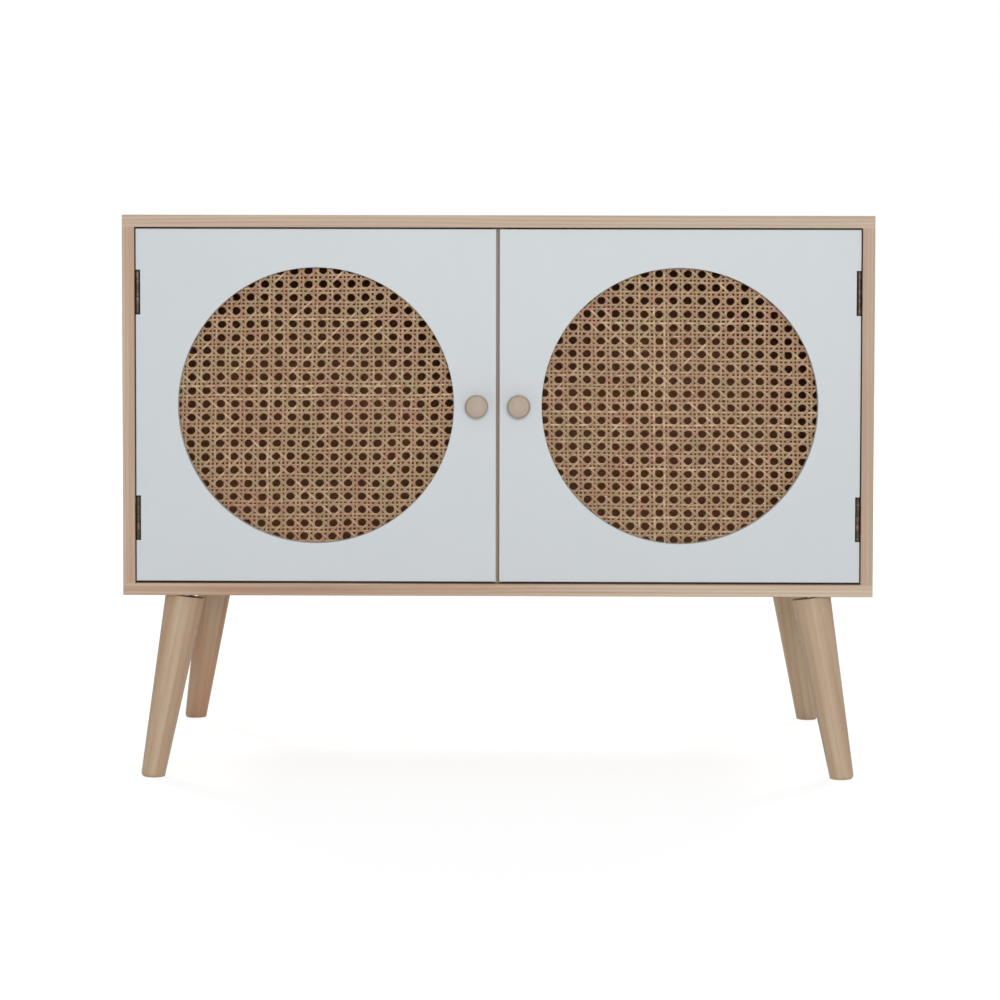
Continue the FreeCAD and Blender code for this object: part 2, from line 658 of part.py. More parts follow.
def door(name, side):
    """A painted board with a round window. Its origin is in the middle of its front face."""
    body = new_body(f"door_{name}")
    sketch = sketch_on(body, "XZ_Plane", "Outline")
    rectangle(sketch, DOOR_WIDTH, DOOR_HEIGHT)
    circle(sketch, "WindowDiameter / 2")
    board = pad(body, sketch, "DoorThickness", "Board", False)

    def front_edge(middle):
        return near(middle.y, 0)

    round_edges(body, board, "DoorRound", front_edge, "FrontRounding")
    sketch = sketch_on(body, "XZ_Plane", "CaneRebateSketch", "-DoorThickness")
    circle(sketch, REBATE_RADIUS)
    pocket(body, sketch, "CaneRebateDepth", "CaneRebate", True)
    sketch = sketch_on(body, "XZ_Plane", "HingeNotchSketch")
    for height in HEIGHTS.values():
        rectangle(sketch, NOTCH_DEPTH, NOTCH_LENGTH, f"{side} * ({DOOR_WIDTH} - {NOTCH_DEPTH}) / 2",
                  f"{height} * {HINGE_DZ}")
    pocket(body, sketch, None, "HingeNotches")
    sketch = sketch_on(body, "YZ_Plane", "HingeHolesSketch", f"{side} * ({DOOR_WIDTH} / 2 - {NOTCH_DEPTH})")
    for height in HEIGHTS.values():
        for step in (-1, 0, 1):
            circle(sketch, "ScrewRadius + ScrewFit", "AxisSetback + LeafScrewSetback",
                   f"{height} * {HINGE_DZ} + {step} * LeafScrewSpread")
    pocket(body, sketch, LEAF_SCREW_DEPTH, "HingeHoles", side < 0)
    free_side = f"{-side} * {DOOR_WIDTH} / 2"
    sketch = sketch_on(body, "XZ_Plane", "KnobBoreSketch")
    circle(sketch, "KnobScrewRadius + ScrewFit", f"{free_side} + {side} * {KNOB_TO_EDGE}")
    pocket(body, sketch, None, "KnobBore")
    sketch = sketch_on(body, "XZ_Plane", "StrikeHoleSketch", "-DoorThickness")
    strike_x = f"{side} * ({CATCH_X} - {DOOR_X})"
    circle(sketch, "ScrewRadius + ScrewFit", strike_x, "CatchRise")
    pocket(body, sketch, "StrikeScrewLength - StrikeThickness + ScrewEndPlay", "StrikeHole", True)
    place(body, f"{side} * {DOOR_X}", DOOR_FACE, DOOR_Z)


def strand(along, width, thickness, middle, level):
    """One flat strand: its run as a vector, and the point in the middle of its front face."""
    length = along.Length
    piece = Part.makeBox(length, thickness, width, Vector(-length / 2, 0, -width / 2))
    angle = math.degrees(math.atan2(along.z, along.x))
    piece.rotate(Vector(), Vector(0, -1, 0), angle)
    piece.translate(middle + Vector(0, level, 0))
    return piece


def strands_across(normal, offset, width, thickness, radius, level):
    """One strand across a disc, at a distance from its middle along a unit normal, or none."""
    edge = abs(offset) + width / 2
    if edge >= radius:
        return []
    length = 2 * math.sqrt(radius ** 2 - edge ** 2)
    along = Vector(-normal.z, 0, normal.x) * length
    return [strand(along, width, thickness, normal * offset, level)]


def cane(name, side):
    """Webbing of upright and level pairs of strands, with single strands on both diagonals.

    The four sets lie on each other in four layers, level pairs in front of upright pairs, and the
    diagonals behind them. Strands run through the middles between neighbouring holes.
    """
    across = value("CanePitchAcross")
    up = value("CanePitchUp")
    width = value("StrandWidth")
    thickness = value("StrandThickness")
    pair = value("StrandPairOffset")
    radius = value(CANE_RADIUS)
    slant = math.hypot(1 / across, 1 / up)
    sets = [
        (Vector(0, 0, 1), up, (-pair, pair), 0),
        (Vector(1, 0, 0), across, (-pair, pair), 1),
        (Vector(1 / across, 0, 1 / up) / slant, 1 / slant, (0,), 2),
        (Vector(-1 / across, 0, 1 / up) / slant, 1 / slant, (0,), 3),
    ]
    strands = []
    for normal, pitch, offsets, layer in sets:
        reach = int(radius / pitch) + 1
        for step in range(-reach, reach):
            for offset in offsets:
                distance = (step + 0.5) * pitch + offset
                strands += strands_across(normal, distance, width, thickness, radius, layer * thickness)
    webbing = doc.addObject("Part::Feature", f"cane_{name}")
    webbing.Label = f"cane_{name}"
    webbing.Shape = Part.makeCompound(strands)
    place(webbing, f"{side} * {DOOR_X}", CANE_FRONT, DOOR_Z)
    node(webbing)


def cane_ring(name, side):
    body = new_body(f"cane_ring_{name}")
    sketch = sketch_on(body, "XZ_Plane", "Outline")
    circle(sketch, RING_OUTER)
    circle(sketch, "WindowDiameter / 2")
    pad(body, sketch, RING_THICKNESS, "Ring", False)
    place(body, f"{side} * {DOOR_X}", f"{DOOR_BACK} - {RING_THICKNESS}", DOOR_Z)


def cane_ring_pins(name, side):
    pins = []
    for step in range(RING_PINS):
        angle = (step + 0.5) * 360 / RING_PINS
        pin = flat_headed_pin("RingPin", "RingPinRadius", "RingPinLength", "RingPinHeadRadius",
                              "RingPinHeadHeight")
        place(pin, f"{side} * {DOOR_X} + {RING_PIN_CIRCLE} * cos({angle})", DOOR_BACK,
              f"{DOOR_Z} + {RING_PIN_CIRCLE} * sin({angle})", TURN_TO["+y"])
        pins.append(pin)
    group(f"cane_ring_pins_{name}", pins)


def knob(name, side):
    """A turned knob: a narrow neck, a flared underside and a shallow dome."""
    body = new_body(f"knob_{name}")
    sketch = sketch_on(body, "XZ_Plane", "Profile")
    points = [
        ("0", "0"),
        ("KnobNeckRadius", "0"),
        ("KnobWaistRadius", "KnobWaistHeight"),
        ("KnobFlareRadius", "KnobFlareHeight"),
        ("KnobRadius", "KnobRimHeight"),
        ("KnobShoulderRadius", "KnobShoulderHeight"),
        ("KnobCrownRadius", "KnobHeight"),
        ("0", "KnobHeight"),
    ]
    profile(sketch, points)
    turned = revolve(body, sketch, "Turned")

    def turned_edge(middle):
        return off_axis(middle) and not near(middle.z, 0)

    round_edges(body, turned, "KnobSoftening", turned_edge, "Softened")
    sketch = sketch_on(body, "XY_Plane", "BoreSketch")
    circle(sketch, "KnobScrewRadius + ScrewFit")
    pocket(body, sketch, "KnobScrewBite + ScrewEndPlay", "Bore", True)
    place(body, f"{side} * {KNOB_X}", DOOR_FACE, DOOR_Z, TURN_TO["-y"])


def knob_screw(name, side):
    screw = flat_headed_pin(f"knob_screw_{name}", "KnobScrewRadius", "(DoorThickness + KnobScrewBite)",
                            "KnobScrewHeadRadius", "KnobScrewHeadHeight")
    screw.Label = f"knob_screw_{name}"
    place(screw, f"{side} * {KNOB_X}", DOOR_BACK, DOOR_Z, TURN_TO["+y"])
    node(screw)


# ---------------------------------------------------------------------------------------------
# The hinges
# ---------------------------------------------------------------------------------------------


def hinge_leaf(label, plate_side, first_knuckle, knuckles):
    """One leaf of a butt hinge. Its origin is on the pin, at half height.

    The plate lies on the -X side of the pin and runs back to +Y. plate_side turns it over.
    """
    body = new_body(label)
    plate_x = f"(LeafThickness / 2 - {LEAF_FACE})"
    start = f"({first_knuckle} * {KNUCKLE_PITCH} + KnuckleGap / 2 - HingeLength / 2)"
    length = f"({KNUCKLE_PITCH} - KnuckleGap)"
    spread = f"{2 * (knuckles - 1)} * {KNUCKLE_PITCH}"
    sketch = sketch_on(body, "XY_Plane", "PlateSketch", "-HingeLength / 2")
    rectangle(sketch, "LeafThickness", f"(LeafReach - {LEAF_SLOT})", plate_x, LEAF_Y)
    pad(body, sketch, "HingeLength", "Plate")
    sketch = sketch_on(body, "XY_Plane", "TabSketch", start)
    rectangle(sketch, "LeafThickness", f"({LEAF_SLOT} + LeafThickness)", plate_x,
              f"({LEAF_SLOT} + LeafThickness) / 2")
    tab = pad(body, sketch, length, "Tab")
    sketch = sketch_on(body, "XY_Plane", "KnuckleSketch", start)
    circle(sketch, "KnuckleRadius")
    knuckle = pad(body, sketch, length, "Knuckle")
    doc.recompute()
    repeat(body, [tab, knuckle], knuckles, spread, "Knuckles")
    sketch = sketch_on(body, "XY_Plane", "PinBoreSketch", "-HingeLength / 2")
    circle(sketch, "PinRadius + PinFit")
    pocket(body, sketch, None, "PinBore", True)
    sketch = sketch_on(body, "YZ_Plane", "ScrewHoleSketch", f"-{LEAF_FACE}")
    circle(sketch, "ScrewRadius + ScrewFit", "LeafScrewSetback", "-LeafScrewSpread")
    hole = pocket(body, sketch, "LeafThickness", "ScrewHole", True)
    sink = body.newObject("PartDesign::SubtractiveCone", "Countersink")
    bind(sink, "Radius1", "ScrewRadius + ScrewFit")
    bind(sink, "Radius2", "ScrewHeadRadius + ScrewFit")
    bind(sink, "Height", "ScrewHeadHeight")
    place(sink, f"LeafThickness - ScrewHeadHeight - {LEAF_FACE}", "LeafScrewSetback", "-LeafScrewSpread",
          TURN_TO["+x"])
    doc.recompute()
    repeat(body, [hole, sink], LEAF_SCREWS, "2 * LeafScrewSpread", "ScrewHoles")
    body.Placement = FreeCAD.Placement(Vector(), Rotation(Vector(0, 1, 0), 180 if plate_side > 0 else 0))
    return body


def hinge_pin(label):
    """The pin of a hinge, with a small rounded head at each end."""
    body = new_body(label)
    half = "HingeLength / 2"
    sketch = sketch_on(body, "XZ_Plane", "Profile")
    points = [
        ("0", f"-{half} - PinHeadHeight"),
        ("PinHeadRadius", f"-{half} - PinHeadHeight"),
        ("PinHeadRadius", f"-{half}"),
        ("PinRadius", f"-{half}"),
        ("PinRadius", half),
        ("PinHeadRadius", half),
        ("PinHeadRadius", f"{half} + PinHeadHeight"),
        ("0", f"{half} + PinHeadHeight"),
    ]
    profile(sketch, points)
    turned = revolve(body, sketch, "Turned")
    end = value("HingeLength / 2 + PinHeadHeight")

    def head_rim(middle):
        return near(abs(middle.z), end) and off_axis(middle)

    round_edges(body, turned, "PinHeadRound", head_rim, "Rounded")
    return body


def hinge(side_name, side, height_name, height):
    """The two leaves and the pin of one hinge."""
    label = f"hinge_{side_name}_{height_name}"
    pieces = [
        hinge_leaf(f"{label}_frame_leaf", side, 0, FRAME_KNUCKLES),
        hinge_leaf(f"{label}_door_leaf", -side, 1, DOOR_KNUCKLES),
        hinge_pin(f"{label}_pin"),
    ]
    for piece in pieces:
        place(piece, f"{side} * {HINGE_X}", HINGE_Y, f"{DOOR_Z} + {height} * {HINGE_DZ}")


# ---------------------------------------------------------------------------------------------
# The catches
# ---------------------------------------------------------------------------------------------


def catch(name, side):
    """A catch housing. Its origin is in the middle of its front face, against the divider's side."""
    body = new_body(f"catch_{name}")
    sketch = sketch_on(body, "XZ_Plane", "Outline")
    rectangle(sketch, "CatchWidth", "CatchLength")
    block = pad(body, sketch, "CatchDepth", "Block", False)
    far_x = side * value("CatchWidth / 2")
    half_length = value("CatchLength / 2")

    def long_edge(middle):
        return near(middle.x, far_x) and near(abs(middle.z), half_length)

    round_edges(body, block, "CatchRound", long_edge, "Rounding")
    sketch = sketch_on(body, "XZ_Plane", "MagnetSketch")
    rectangle(sketch, "(MagnetWidth + 2 * MagnetFit)", "(MagnetLength + 2 * MagnetFit)")
    pocket(body, sketch, "MagnetDepth - MagnetProud", "MagnetSeat")
    sketch = sketch_on(body, "YZ_Plane", "ScrewSketch", f"{side} * CatchWidth / 2")
    for step in (-1, 1):
        circle(sketch, "ScrewHeadRadius + ScrewFit", "CatchScrewSetback", f"{step} * CatchScrewSpread")
    pocket(body, sketch, "CatchWidth - CatchBase", "HeadRecess", side < 0)
    sketch = sketch_on(body, "YZ_Plane", "ShankSketch", f"{side} * CatchWidth / 2")
    for step in (-1, 1):
        circle(sketch, "ScrewRadius + ScrewFit", "CatchScrewSetback", f"{step} * CatchScrewSpread")
    pocket(body, sketch, None, "ShankHole", side < 0)
    place(body, f"{side} * {CATCH_X}", CATCH_FRONT, CATCH_Z)


def catch_magnet(name, side):
    magnet = doc.addObject("Part::Box", f"catch_magnet_{name}")
    magnet.Label = f"catch_magnet_{name}"
    bind(magnet, "Length", "MagnetWidth")
    bind(magnet, "Width", "MagnetDepth")
    bind(magnet, "Height", "MagnetLength")
    place(magnet, f"{side} * {CATCH_X} - MagnetWidth / 2", MAGNET_FRONT, f"{CATCH_Z} - MagnetLength / 2")
    node(magnet)


def catch_screws():
    """Pan-headed screws through both housings into the divider."""
    screws = []
    for side in SIDES.values():
        for step in (-1, 1):
            screw = flat_headed_pin("CatchScrew", "ScrewRadius",
                                    f"(CatchBase + {CATCH_SCREW_BITE} - ScrewEndPlay)",
                                    "ScrewHeadRadius", "ScrewHeadHeight")
            place(screw, f"{side} * (BoardThickness / 2 + CatchBase)", CATCH_SCREW_Y,
                  f"{CATCH_Z} + {step} * CatchScrewSpread", TURN_TO["+x" if side > 0 else "-x"])
            screws.append(screw)
    group("catch_screws", screws)


def strike_plate(name, side):
    body = new_body(f"strike_plate_{name}")
    sketch = sketch_on(body, "XZ_Plane", "Outline")
    rectangle(sketch, "StrikeWidth", "StrikeLength")
    circle(sketch, "ScrewRadius + ScrewFit")
    plate = pad(body, sketch, "StrikeThickness", "Plate", False)
    half_width = value("StrikeWidth / 2")
    half_length = value("StrikeLength / 2")

    def corner(middle):
        return near(abs(middle.x), half_width) and near(abs(middle.z), half_length)

    round_edges(body, plate, "StrikeRound", corner, "Corners")
    sink = body.newObject("PartDesign::SubtractiveCone", "Countersink")
    bind(sink, "Radius1", "ScrewRadius + ScrewFit")
    bind(sink, "Radius2", "ScrewHeadRadius + ScrewFit")
    bind(sink, "Height", "ScrewHeadHeight")
    place(sink, "0", "StrikeThickness - ScrewHeadHeight", "0", TURN_TO["+y"])
    place(body, f"{side} * {CATCH_X}", DOOR_BACK, CATCH_Z)


def strike_screw(name, side):
    screw = countersunk_screw(f"strike_screw_{name}", "StrikeScrewLength")
    screw.Label = f"strike_screw_{name}"
    place(screw, f"{side} * {CATCH_X}", f"{DOOR_BACK} + StrikeThickness", CATCH_Z, TURN_TO["+y"])
    node(screw)


# ---------------------------------------------------------------------------------------------
# The legs
# ---------------------------------------------------------------------------------------------


def tilt(thing, across, along, angle, slant=1):
    """Tilts a piece towards the middle of the case, lengthwise by slant for each part across."""
    axis = Vector(along * slant, -across, 0)
    thing.Placement = FreeCAD.Placement(Vector(), Rotation(axis, value(angle)))
    bind(thing, "Placement.Rotation.Angle", angle)


def lean(thing, across, along):
    """Stands a leg's piece at its place: +Z of the piece runs up the leg's axis.

    The piece's origin is where the axis meets the underside.
    """
    tilt(thing, across, along, LEG_TILT)
    bind(thing, "Placement.Base.x", f"{across} * {LEG_X}")
    bind(thing, "Placement.Base.y", f"{along} * {LEG_Y}")
    bind(thing, "Placement.Base.z", "LegHeight")


def leg(label, across, along):
    """A tapered leg, turned square, with a rounded foot whose sole is cut level.

    Its top is trimmed nearer to level than a square one and falls mostly sideways, so a thin wedge
    stays open below the case.
    """
    body = doc.addObject("PartDesign::Body", label + "_turned")
    sketch = sketch_on(body, "XZ_Plane", "Profile")
    points = [
        ("0", f"-{LEG_END}"),
        ("LegFootRadius", f"-{LEG_END}"),
        ("LegTopRadius", f"-{LEG_TOP}"),
        ("0", f"-{LEG_TOP}"),
    ]
    profile(sketch, points)
    turned = revolve(body, sketch, "Turned")
    end = value(f"-{LEG_END}")

    def foot_rim(middle):
        return near(middle.z, end) and off_axis(middle)

    round_edges(body, turned, "LegFootRound", foot_rim, "FootRounding")
    sketch = sketch_on(body, "XY_Plane", "BoreSketch", f"-{LEG_TOP}")
    circle(sketch, "BoltRadius + BoltFit")
    pocket(body, sketch, f"BoltBite - {LEG_TOP} + BoltEndPlay", "BoltBore")
    lean(body, across, along)
    trim = doc.addObject("Part::Cylinder", label + "_trim")
    bind(trim, "Radius", "2 * LegTopRadius")
    bind(trim, "Height", "LegTopRadius")
    tilt(trim, across, along, LEG_TOP_TILT, LEG_TOP_SLANT)
    shift = f"{LEG_TOP_DROP} * LegSplay / LegHeight"
    place(trim, f"{across} * ({LEG_X} + {shift})", f"{along} * ({LEG_Y} + {shift})",
          f"LegHeight - {LEG_TOP_DROP}")
    trimmed = doc.addObject("Part::Cut", label + "_trimmed")
    trimmed.Base = body
    trimmed.Tool = trim
    floor = doc.addObject("Part::Box", label + "_floor")
    bind(floor, "Length", "4 * LegTopRadius")
    bind(floor, "Width", "4 * LegTopRadius")
    bind(floor, "Height", "LegTopRadius")
    place(floor, f"{across} * ({LEG_X} + LegSplay) - 2 * LegTopRadius",
          f"{along} * ({LEG_Y} + LegSplay) - 2 * LegTopRadius", "-LegTopRadius")
    stood = doc.addObject("Part::Cut", label)
    stood.Label = label
    stood.Base = trimmed
    stood.Tool = floor
    node(stood)


def leg_bolt(label, across, along):
    bolt = doc.addObject("Part::Cylinder", label)
    bolt.Label = label
    bind(bolt, "Radius", "BoltRadius")
    bind(bolt, "Height", f"BoltBite + {INSERT_BORE} - InsertSunk")
    lean(bolt, across, along)
    shift = f"BoltBite * sin({LEG_TILT}) / sqrt(2)"
    bind(bolt, "Placement.Base.x", f"{across} * ({LEG_X} + {shift})")
    bind(bolt, "Placement.Base.y", f"{along} * ({LEG_Y} + {shift})")
    bind(bolt, "Placement.Base.z", f"LegHeight - BoltBite * cos({LEG_TILT})")
    node(bolt)


def leg_insert(label, across, along):
    """A threaded sleeve, as long as its bore in the board less the part that the slant takes."""
    body = new_body(label)
    sketch = sketch_on(body, "XY_Plane", "Section", INSERT_LOW)
    circle(sketch, "InsertRadius - BoltFit")
    circle(sketch, "BoltRadius + BoltFit")
    pad(body, sketch, f"{INSERT_BORE} - {INSERT_LOW} - InsertSunk", "Sleeve")
    lean(body, across, along)


# ---------------------------------------------------------------------------------------------
# Build, check and write
# ---------------------------------------------------------------------------------------------


def build():
    level_board("top_panel", TOP_BOARD_UNDER, False)
    insert_bores(level_board("bottom_panel", "LegHeight", True))
    centre_divider()
    back_panel()
    back_panel_nails()
    panel_dowels()
    catch_screws()
    frame_screws = []
    for name, side in SIDES.items():
        side_panel(name, side)
        door(name, side)
        cane(name, side)
        cane_ring(name, side)
        cane_ring_pins(name, side)
        knob(name, side)
        knob_screw(name, side)
        catch(name, side)
        catch_magnet(name, side)
        strike_plate(name, side)
        strike_screw(name, side)
        group(f"hinge_screws_door_{name}", hinge_screw_rows(side, "door"))
        frame_screws += hinge_screw_rows(side, "frame")
        for height_name, height in HEIGHTS.items():
            hinge(name, side, height_name, height)
        for row_name, along in LEG_ROWS.items():
            leg(f"leg_{row_name}_{name}", side, along)
            leg_bolt(f"leg_bolt_{row_name}_{name}", side, along)
            leg_insert(f"leg_insert_{row_name}_{name}", side, along)
    group("hinge_screws_frame", frame_screws)
    doc.recompute()


CUTS = ("PartDesign::Pocket", "PartDesign::SubtractiveCylinder", "PartDesign::SubtractiveCone")


def check():
    """Stops if anything failed to build, or a cut took nothing away."""
    for thing in doc.Objects:
        if "Invalid" in thing.State or "Error" in thing.State:
            raise RuntimeError(f"{thing.Name} failed: {thing.State}")
        if thing.TypeId in CUTS:
            if thing.Shape.Volume > thing.BaseFeature.Shape.Volume - 1e-3:
                raise RuntimeError(f"{thing.Name} cuts nothing")
    for thing in nodes:
        if thing.Shape.isNull() or not thing.Shape.isValid() or not thing.Shape.Solids:
            raise RuntimeError(f"{thing.Label} has no valid solid")


def write():
    os.makedirs("parts", exist_ok=True)
    for thing in nodes:
        thing.Shape.exportStep(os.path.join("parts", thing.Label + ".step"))
    print(len(nodes), "pieces written")


build()
check()
write()
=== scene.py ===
"""Finishes a record cabinet: woven cane, painted doors, pale pine, bronze hinges and the stage.

Lengths are metres, in the cabinet's own frame: +X to the right, +Y to the back and +Z up, with the
origin on the floor in the middle of the case.
"""

import math
import random

import bmesh
import bpy
from bpy.props import FloatProperty, FloatVectorProperty, IntProperty, PointerProperty
from mathutils import Euler, Matrix, Vector


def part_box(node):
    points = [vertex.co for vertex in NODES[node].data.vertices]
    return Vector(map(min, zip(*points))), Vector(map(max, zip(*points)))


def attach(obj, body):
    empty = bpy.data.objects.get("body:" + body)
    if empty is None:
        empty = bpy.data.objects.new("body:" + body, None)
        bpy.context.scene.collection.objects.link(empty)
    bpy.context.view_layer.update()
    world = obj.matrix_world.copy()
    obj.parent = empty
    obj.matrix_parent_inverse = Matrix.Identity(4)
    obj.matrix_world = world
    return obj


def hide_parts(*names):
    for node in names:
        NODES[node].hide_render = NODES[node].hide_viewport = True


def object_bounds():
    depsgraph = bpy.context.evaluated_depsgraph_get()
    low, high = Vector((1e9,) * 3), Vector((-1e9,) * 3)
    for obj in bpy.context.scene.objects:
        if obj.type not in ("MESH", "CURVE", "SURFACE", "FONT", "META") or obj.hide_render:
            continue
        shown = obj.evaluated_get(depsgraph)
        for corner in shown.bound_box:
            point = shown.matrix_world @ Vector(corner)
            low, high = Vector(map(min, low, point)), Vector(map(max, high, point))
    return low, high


bl_info = {
    "name": "Record Cabinet",
    "version": (1, 0, 0),
    "blender": (4, 5, 0),
    "location": "3D View > Sidebar > Cabinet",
    "description": "Weaves the cane, and finishes the wood, paint and metal of a record cabinet",
    "category": "Object",
}

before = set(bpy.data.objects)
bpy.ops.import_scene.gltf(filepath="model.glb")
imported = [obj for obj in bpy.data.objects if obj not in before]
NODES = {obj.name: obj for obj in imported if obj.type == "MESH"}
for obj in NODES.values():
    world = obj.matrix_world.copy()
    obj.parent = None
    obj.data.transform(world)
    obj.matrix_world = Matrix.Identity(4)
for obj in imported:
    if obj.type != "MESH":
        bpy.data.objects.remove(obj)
CAD_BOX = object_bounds()
SIDES = {"left": -1, "right": 1}
ROWS = {"front": -1, "rear": 1}

WHITE = (1.0, 1.0, 1.0, 1.0)
RIGHT = Vector((1.0, 0.0, 0.0))
UP = Vector((0.0, 0.0, 1.0))


# ---- Settings ------------------------------------------------


def length(name, description, default):
    """A length setting in metres."""
    return FloatProperty(name=name, description=description, default=default, unit="LENGTH", precision=5)


def number(name, description, default):
    """A plain number."""
    return FloatProperty(name=name, description=description, default=default)


def angle(name, description, degrees):
    """An angle setting, whose default is given in degrees."""
    return FloatProperty(name=name, description=description, default=math.radians(degrees), subtype="ANGLE")


def power(name, description, default):
    """The power of a light."""
    return FloatProperty(name=name, description=description, default=default, unit="POWER")


def share(name, description, default):
    """A setting between nothing and all."""
    return FloatProperty(name=name, description=description, default=default, min=0.0, max=1.0,
                         subtype="FACTOR")


def colour(name, description, default):
    """A colour setting, in linear values."""
    return FloatVectorProperty(name=name, description=description, default=default, subtype="COLOR",
                               min=0.0, max=1.0)


def offset(name, description, default):
    """Two lengths in metres, across and up."""
    return FloatVectorProperty(name=name, description=description, default=default, size=2, unit="LENGTH",
                               precision=5)


def slope(name, description, default):
    """Two slopes, of upright and of level lines."""
    return FloatVectorProperty(name=name, description=description, default=default, size=2, precision=4)


class PineSettings(bpy.types.PropertyGroup):
    """The pale pine of the case, legs and knobs."""

    pale: colour("Pale wood", "Colour of the spring wood", (0.536, 0.434, 0.327))
    late: colour("Late wood", "Colour of the darker growth rings", (0.41, 0.265, 0.175))
    blush: colour("Blush", "Reddish tone of some staves", (0.440, 0.283, 0.196))
    heart: colour("Heartwood", "Redder end of the bottom board", (0.405, 0.243, 0.162))
    leg_pale: colour("Pale leg wood", "Spring wood of the legs", (0.524, 0.403, 0.282))
    leg_late: colour("Late leg wood", "Growth rings of the legs", (0.434, 0.300, 0.201))
    leg_blush: colour("Leg blush", "Reddish tone of the legs", (0.42, 0.245, 0.146))
    knob_pale: colour("Pale knob wood", "Spring wood of the knobs", (0.447, 0.373, 0.296))
    knob_late: colour("Late knob wood", "Growth rings of the knobs", (0.420, 0.335, 0.250))
    knob_blush: colour("Knob blush", "Reddish tone of the knobs", (0.455, 0.345, 0.270))
    sheet: colour("Back sheet", "Colour of the pressed sheet at the back", (0.385, 0.170, 0.075))
    sheet_dark: colour("Back sheet fibres", "Colour of its darker fibres", (0.240, 0.095, 0.040))
    sheet_back: colour("Back sheet outside", "Colour of the duller outer face", (0.335, 0.190, 0.108))
    ring_width: length("Ring width", "Distance between two growth rings", 0.0042)
    leg_ring_width: length("Leg ring width", "Distance between two growth rings of a leg", 0.0085)
    knob_ring_width: length("Knob ring width", "Distance between two growth rings of a knob", 0.0044)
    stave_width: length("Stave width", "Width of the staves that a board is glued from", 0.082)
    roughness: share("Roughness", "Roughness of the oiled wood", 0.56)


class PaintSettings(bpy.types.PropertyGroup):
    """The satin paint of the doors."""

    colour: colour("Paint", "Colour of the doors", (0.604, 0.640, 0.663))
    roughness: share("Roughness", "Roughness of the paint", 0.46)
    peel: length("Peel", "Size of the paint's fine texture", 0.0014)


class CaneSettings(bpy.types.PropertyGroup):
    """The woven webbing of the round windows."""

    pitch_across: length("Pitch across", "From hole to hole, across", 0.0153)
    pitch_up: length("Pitch up", "From hole to hole, upwards", 0.0142)
    strand_width: length("Strand width", "Width of one strand", 0.00238)
    strand_thickness: length("Strand thickness", "Thickness of one strand", 0.00035)
    pair_offset: length("Pair offset", "Strand of a pair to the middle of the pair", 0.0021)
    radius: length("Radius", "Radius of the cut webbing", 0.1555)
    pair_depth: length("Pair depth", "How far the strands of the pairs bend over each other", 0.0002)
    diagonal_depth: length("Diagonal depth", "How far the diagonals bend over the pairs", 0.00055)
    wander: length("Wander", "How far a strand strays from its line", 0.00022)
    warp: length("Warp", "How far the whole webbing is drawn out of line", 0.0007)
    joint_spacing: length("Joint spacing", "From joint to joint of the bark, along a strand", 0.145)
    left_hole: offset("Left hole", "From the left window's centre to a hole", (0.0044, 0.0015))
    right_hole: offset("Right hole", "From the right window's centre to a hole", (-0.0065, -0.0017))
    left_slope: slope("Left slope", "Slopes of the left strands", (0.0168, 0.0045))
    right_slope: slope("Right slope", "Slopes of the right strands", (-0.0054, -0.0059))
    steps: IntProperty(name="Steps", description="Divisions of a strand from hole to hole", default=6, min=4)
    pale: colour("Pale strand", "Colour of the palest bark", (0.560, 0.375, 0.220))
    tan: colour("Tan strand", "Colour of the usual bark", (0.300, 0.167, 0.077))
    red: colour("Red strand", "Colour of the reddish patches", (0.330, 0.150, 0.083))
    olive: colour("Olive strand", "Colour of the greenish grey patches", (0.300, 0.212, 0.096))
    joint: colour("Joint", "Colour of the bark's joints", (0.16, 0.085, 0.045))


class MetalSettings(bpy.types.PropertyGroup):
    """Hinges, screws and catches."""

    bronze: colour("Bronze", "Dark antique finish of the hinges", (0.050, 0.036, 0.027))
    rubbed: colour("Rubbed bronze", "Where the finish is worn", (0.24, 0.185, 0.130))
    zinc: colour("Zinc", "Plated screws and plates", (0.56, 0.565, 0.56))
    plastic: colour("Catch plastic", "Moulded catch housings", (0.155, 0.095, 0.060))
    cross_reach: number("Cross reach", "Length of a cross slot, in head radii", 1.2)
    cross_width: number("Cross width", "Width of a cross slot, in head radii", 0.24)
    cross_depth: number("Cross depth", "Depth of a cross slot, in head radii", 0.4)


class StageSettings(bpy.types.PropertyGroup):
    """Camera, lights and floor."""

    key_power: power("Key light", "Power of the main light", 96.0)
    key_size: length("Light size", "Width of each light", 1.05)
    key_distance: length("Light distance", "Each light to the cabinet", 5.0)
    key_elevation: angle("Key elevation", "Height of the main light", 11.0)
    key_azimuth: angle("Key azimuth", "Main light to the right of the middle", 3.0)
    rear_power: power("Rear lights", "Power of each light behind", 80.0)
    rear_elevation: angle("Rear elevation", "Height of the lights behind", 32.0)
    rear_azimuth: angle("Rear azimuth", "Lights behind, away from the front", 148.0)
    fill: share("Fill", "Strength of the light from all round", 0.47)
    lens: number("Lens", "Focal length in millimetres", 106.87)
    shift: number("Shift", "Vertical shift of the camera", -0.1192)


class CabinetSettings(bpy.types.PropertyGroup):
    """All settings of the cabinet."""

    pine: PointerProperty(type=PineSettings)
    paint: PointerProperty(type=PaintSettings)
    cane: PointerProperty(type=CaneSettings)
    metal: PointerProperty(type=MetalSettings)
    stage: PointerProperty(type=StageSettings)


# ---- Shader helpers ------------------------------------------


def feed(tree, socket, value):
    """Links a socket to another one, or sets its value."""
    if isinstance(value, bpy.types.NodeSocket):
        tree.links.new(value, socket)
    else:
        socket.default_value = value


